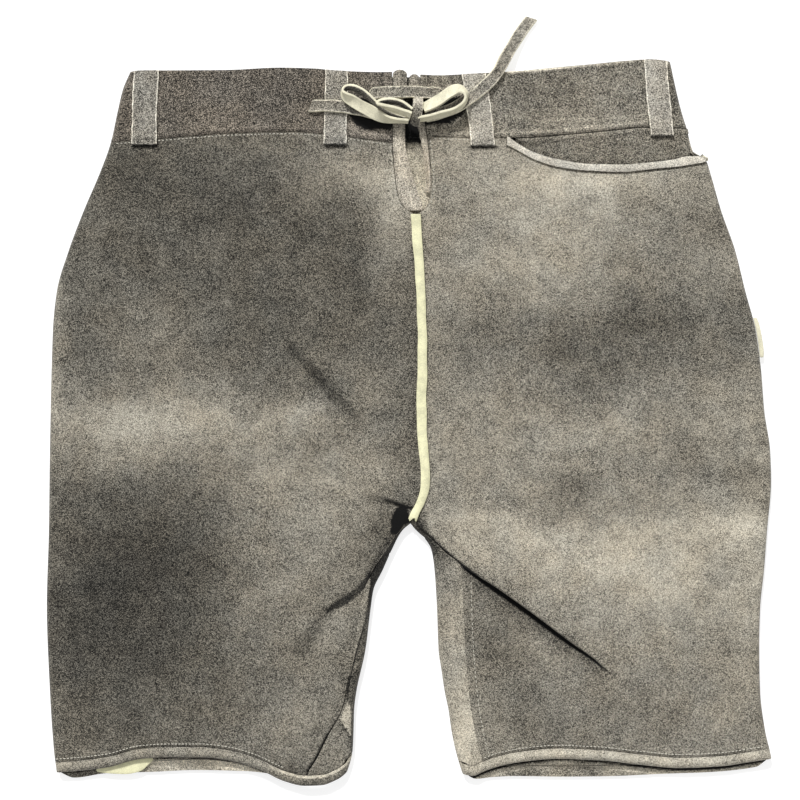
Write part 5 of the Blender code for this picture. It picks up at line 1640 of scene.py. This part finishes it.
def stitches(name, line, lift, pitch, length, wide, face=None, surface=None):
    """Capsules along a line: the middle of each is an even step on, and its rings shrink to both ends."""
    length_along = np.concatenate([[0], np.cumsum(np.linalg.norm(np.diff(line, axis=0), axis=1))])
    count = int(length_along[-1] / (pitch * MM))
    order = np.arange(count)
    jitter = np.sin(order * 12.9898) * 0.12
    at = (order + 0.5 + jitter) * length_along[-1] / count
    middle = np.stack([np.interp(at, length_along, line[:, i]) for i in range(2)], axis=1)
    ahead = np.stack([np.interp(at + MM / 2, length_along, line[:, i]) for i in range(2)], axis=1)
    forward = ahead - middle
    forward /= np.maximum(np.linalg.norm(forward, axis=1, keepdims=True), 1e-9)
    turn = 0.10 * np.sin(order * 7.23)
    forward = forward * np.cos(turn)[:, None] + left_of(forward) * np.sin(turn)[:, None]
    ground = (surface or (lambda x, y: skin(x, y, True)))(middle[:, 0], middle[:, 1])[:, None, None]
    s = np.array([-1, -0.72, 0, 0.72, 1])[None, :, None]
    angle = np.linspace(0, 2 * math.pi, RING, endpoint=False)[None, None, :]
    radius = wide / 2 * MM * np.sqrt(np.clip(1.02 - s**2, 0.02, 1))
    reach = (s * length / 2 * (1 + 0.15 * np.sin(order * 3.7)[:, None, None])) * MM
    middle, forward, side = (v.T[:, :, None, None] for v in (middle, forward, left_of(forward)))
    x, y = middle + forward * reach + side * radius * np.cos(angle)
    z = ground + lift * MM + 0.12 * MM * (1 - 2.2 * s**2) + radius * np.sin(angle)
    first, ring = (order * s.size * RING)[:, None], np.arange(RING)[None]
    sides = (faces_of(s.size, RING, closed=True)[None] + first[:, :, None]).reshape(-1, 4)
    caps = np.concatenate([ring + first, ring[:, ::-1] + (s.size - 1) * RING + first])
    faces = sides[:, ::-1].tolist() + caps[:, ::-1].tolist()
    mesh = bpy.data.meshes.new(name)
    mesh.from_pydata((raised(x, y, z).reshape(-1, 3) + SHIFT).tolist(), [], faces)
    mesh.materials.append(face or PALE_THREAD)
    mesh.shade_smooth()
    thread = linked(name, mesh)
    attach(thread, "root")
    print(f"{name}: {count} stitches")


LINE_POINTS = 160


def across_line(rows, low, high, up=0.0):
    """Points of a table's line between two places across, raised by a height."""
    x = np.linspace(low, high, LINE_POINTS) * MM
    return np.stack([x, follow(rows, "x", x) + up * MM], axis=1)


def down_line(rows, low, high, aside=0.0):
    """Points of a table's line between two heights, moved aside."""
    y = np.linspace(low, high, LINE_POINTS) * MM
    return np.stack([follow(rows, "y", y) + aside * MM, y], axis=1)


# Name, line, lift, then pitch, length and width of a stitch in millimetres, and what is special.
STITCH_ROWS = (
    ("stitches_hem_left", across_line(HEM_FRONT_LEFT, -241, -86, 9.3), 0.2, 2.4, 1.7, 0.66, {}),
    ("stitches_hem_right", across_line(HEM_FRONT_RIGHT, 50, 240, 9.3), 0.2, 2.4, 1.7, 0.65, {}),
    ("stitches_waist_left", across_line(WAIST_LEFT, -200, -16, -1.3), 0.10, 2.6, 1.6, 0.6, {}),
    (
        "stitches_band_right", across_line(WAIST_RIGHT, 20, 186, 5.0), 0.0, 2.8, 1.6, 0.36,
        {"face": THREAD, "surface": band_skin},
    ),
    ("stitches_waist_right", across_line(WAIST_RIGHT, 16, 60, -1.3), 0.12, 2.6, 1.6, 0.65, {}),
    ("stitches_inseam_right", down_line(INSEAM_RIGHT, -226, -108, 5.4), 0.14, 3.0, 1.9, 0.5, {}),
    (
        "stitches_inseam_left", down_line(INSEAM_LEFT, -214, -80, -5.0), 0.03, 3.0, 1.8, 0.36,
        {"face": THREAD},
    ),
    ("stitches_fly_left", down_line(FLY_LEFT, 146, 188, -1.3), 0.12, 2.6, 1.5, 0.5, {}),
    ("stitches_fly_right", down_line(FLY_RIGHT, 146, 192, 1.7), 0.10, 2.6, 1.5, 0.45, {}),
    ("stitches_pocket", across_line(POCKET_MOUTH, 74, 194, -6.9), 0.03, 2.7, 1.6, 0.36, {}),
)
for name, line, lift, pitch, length, wide, special in STITCH_ROWS:
    stitches(name, line, lift, pitch, length, wide, **special)

# %% [markdown]
# ## Cut sizes
# Leather is cut flat before it is sewn. The flat area of each piece and the rectangle it comes out of
# are measured on its own grid as the piece is built. Trims too narrow for a sheet of their own go
# with the panel they are sewn to. The lace is flat cord, and the length of each strand is printed
# here.

for name, path in STRANDS.items():
    path = path[::-1] if name == "lace_tail_left" else path
    run = float(np.linalg.norm(np.diff(path, axis=0), axis=1).sum())
    "bare" if "tail" in name else "object"
    [PIECES["lace_knot"]] if name == "lace_tail_right" else []
    print(f"{name}: {run * 1000:.0f} mm of lace")
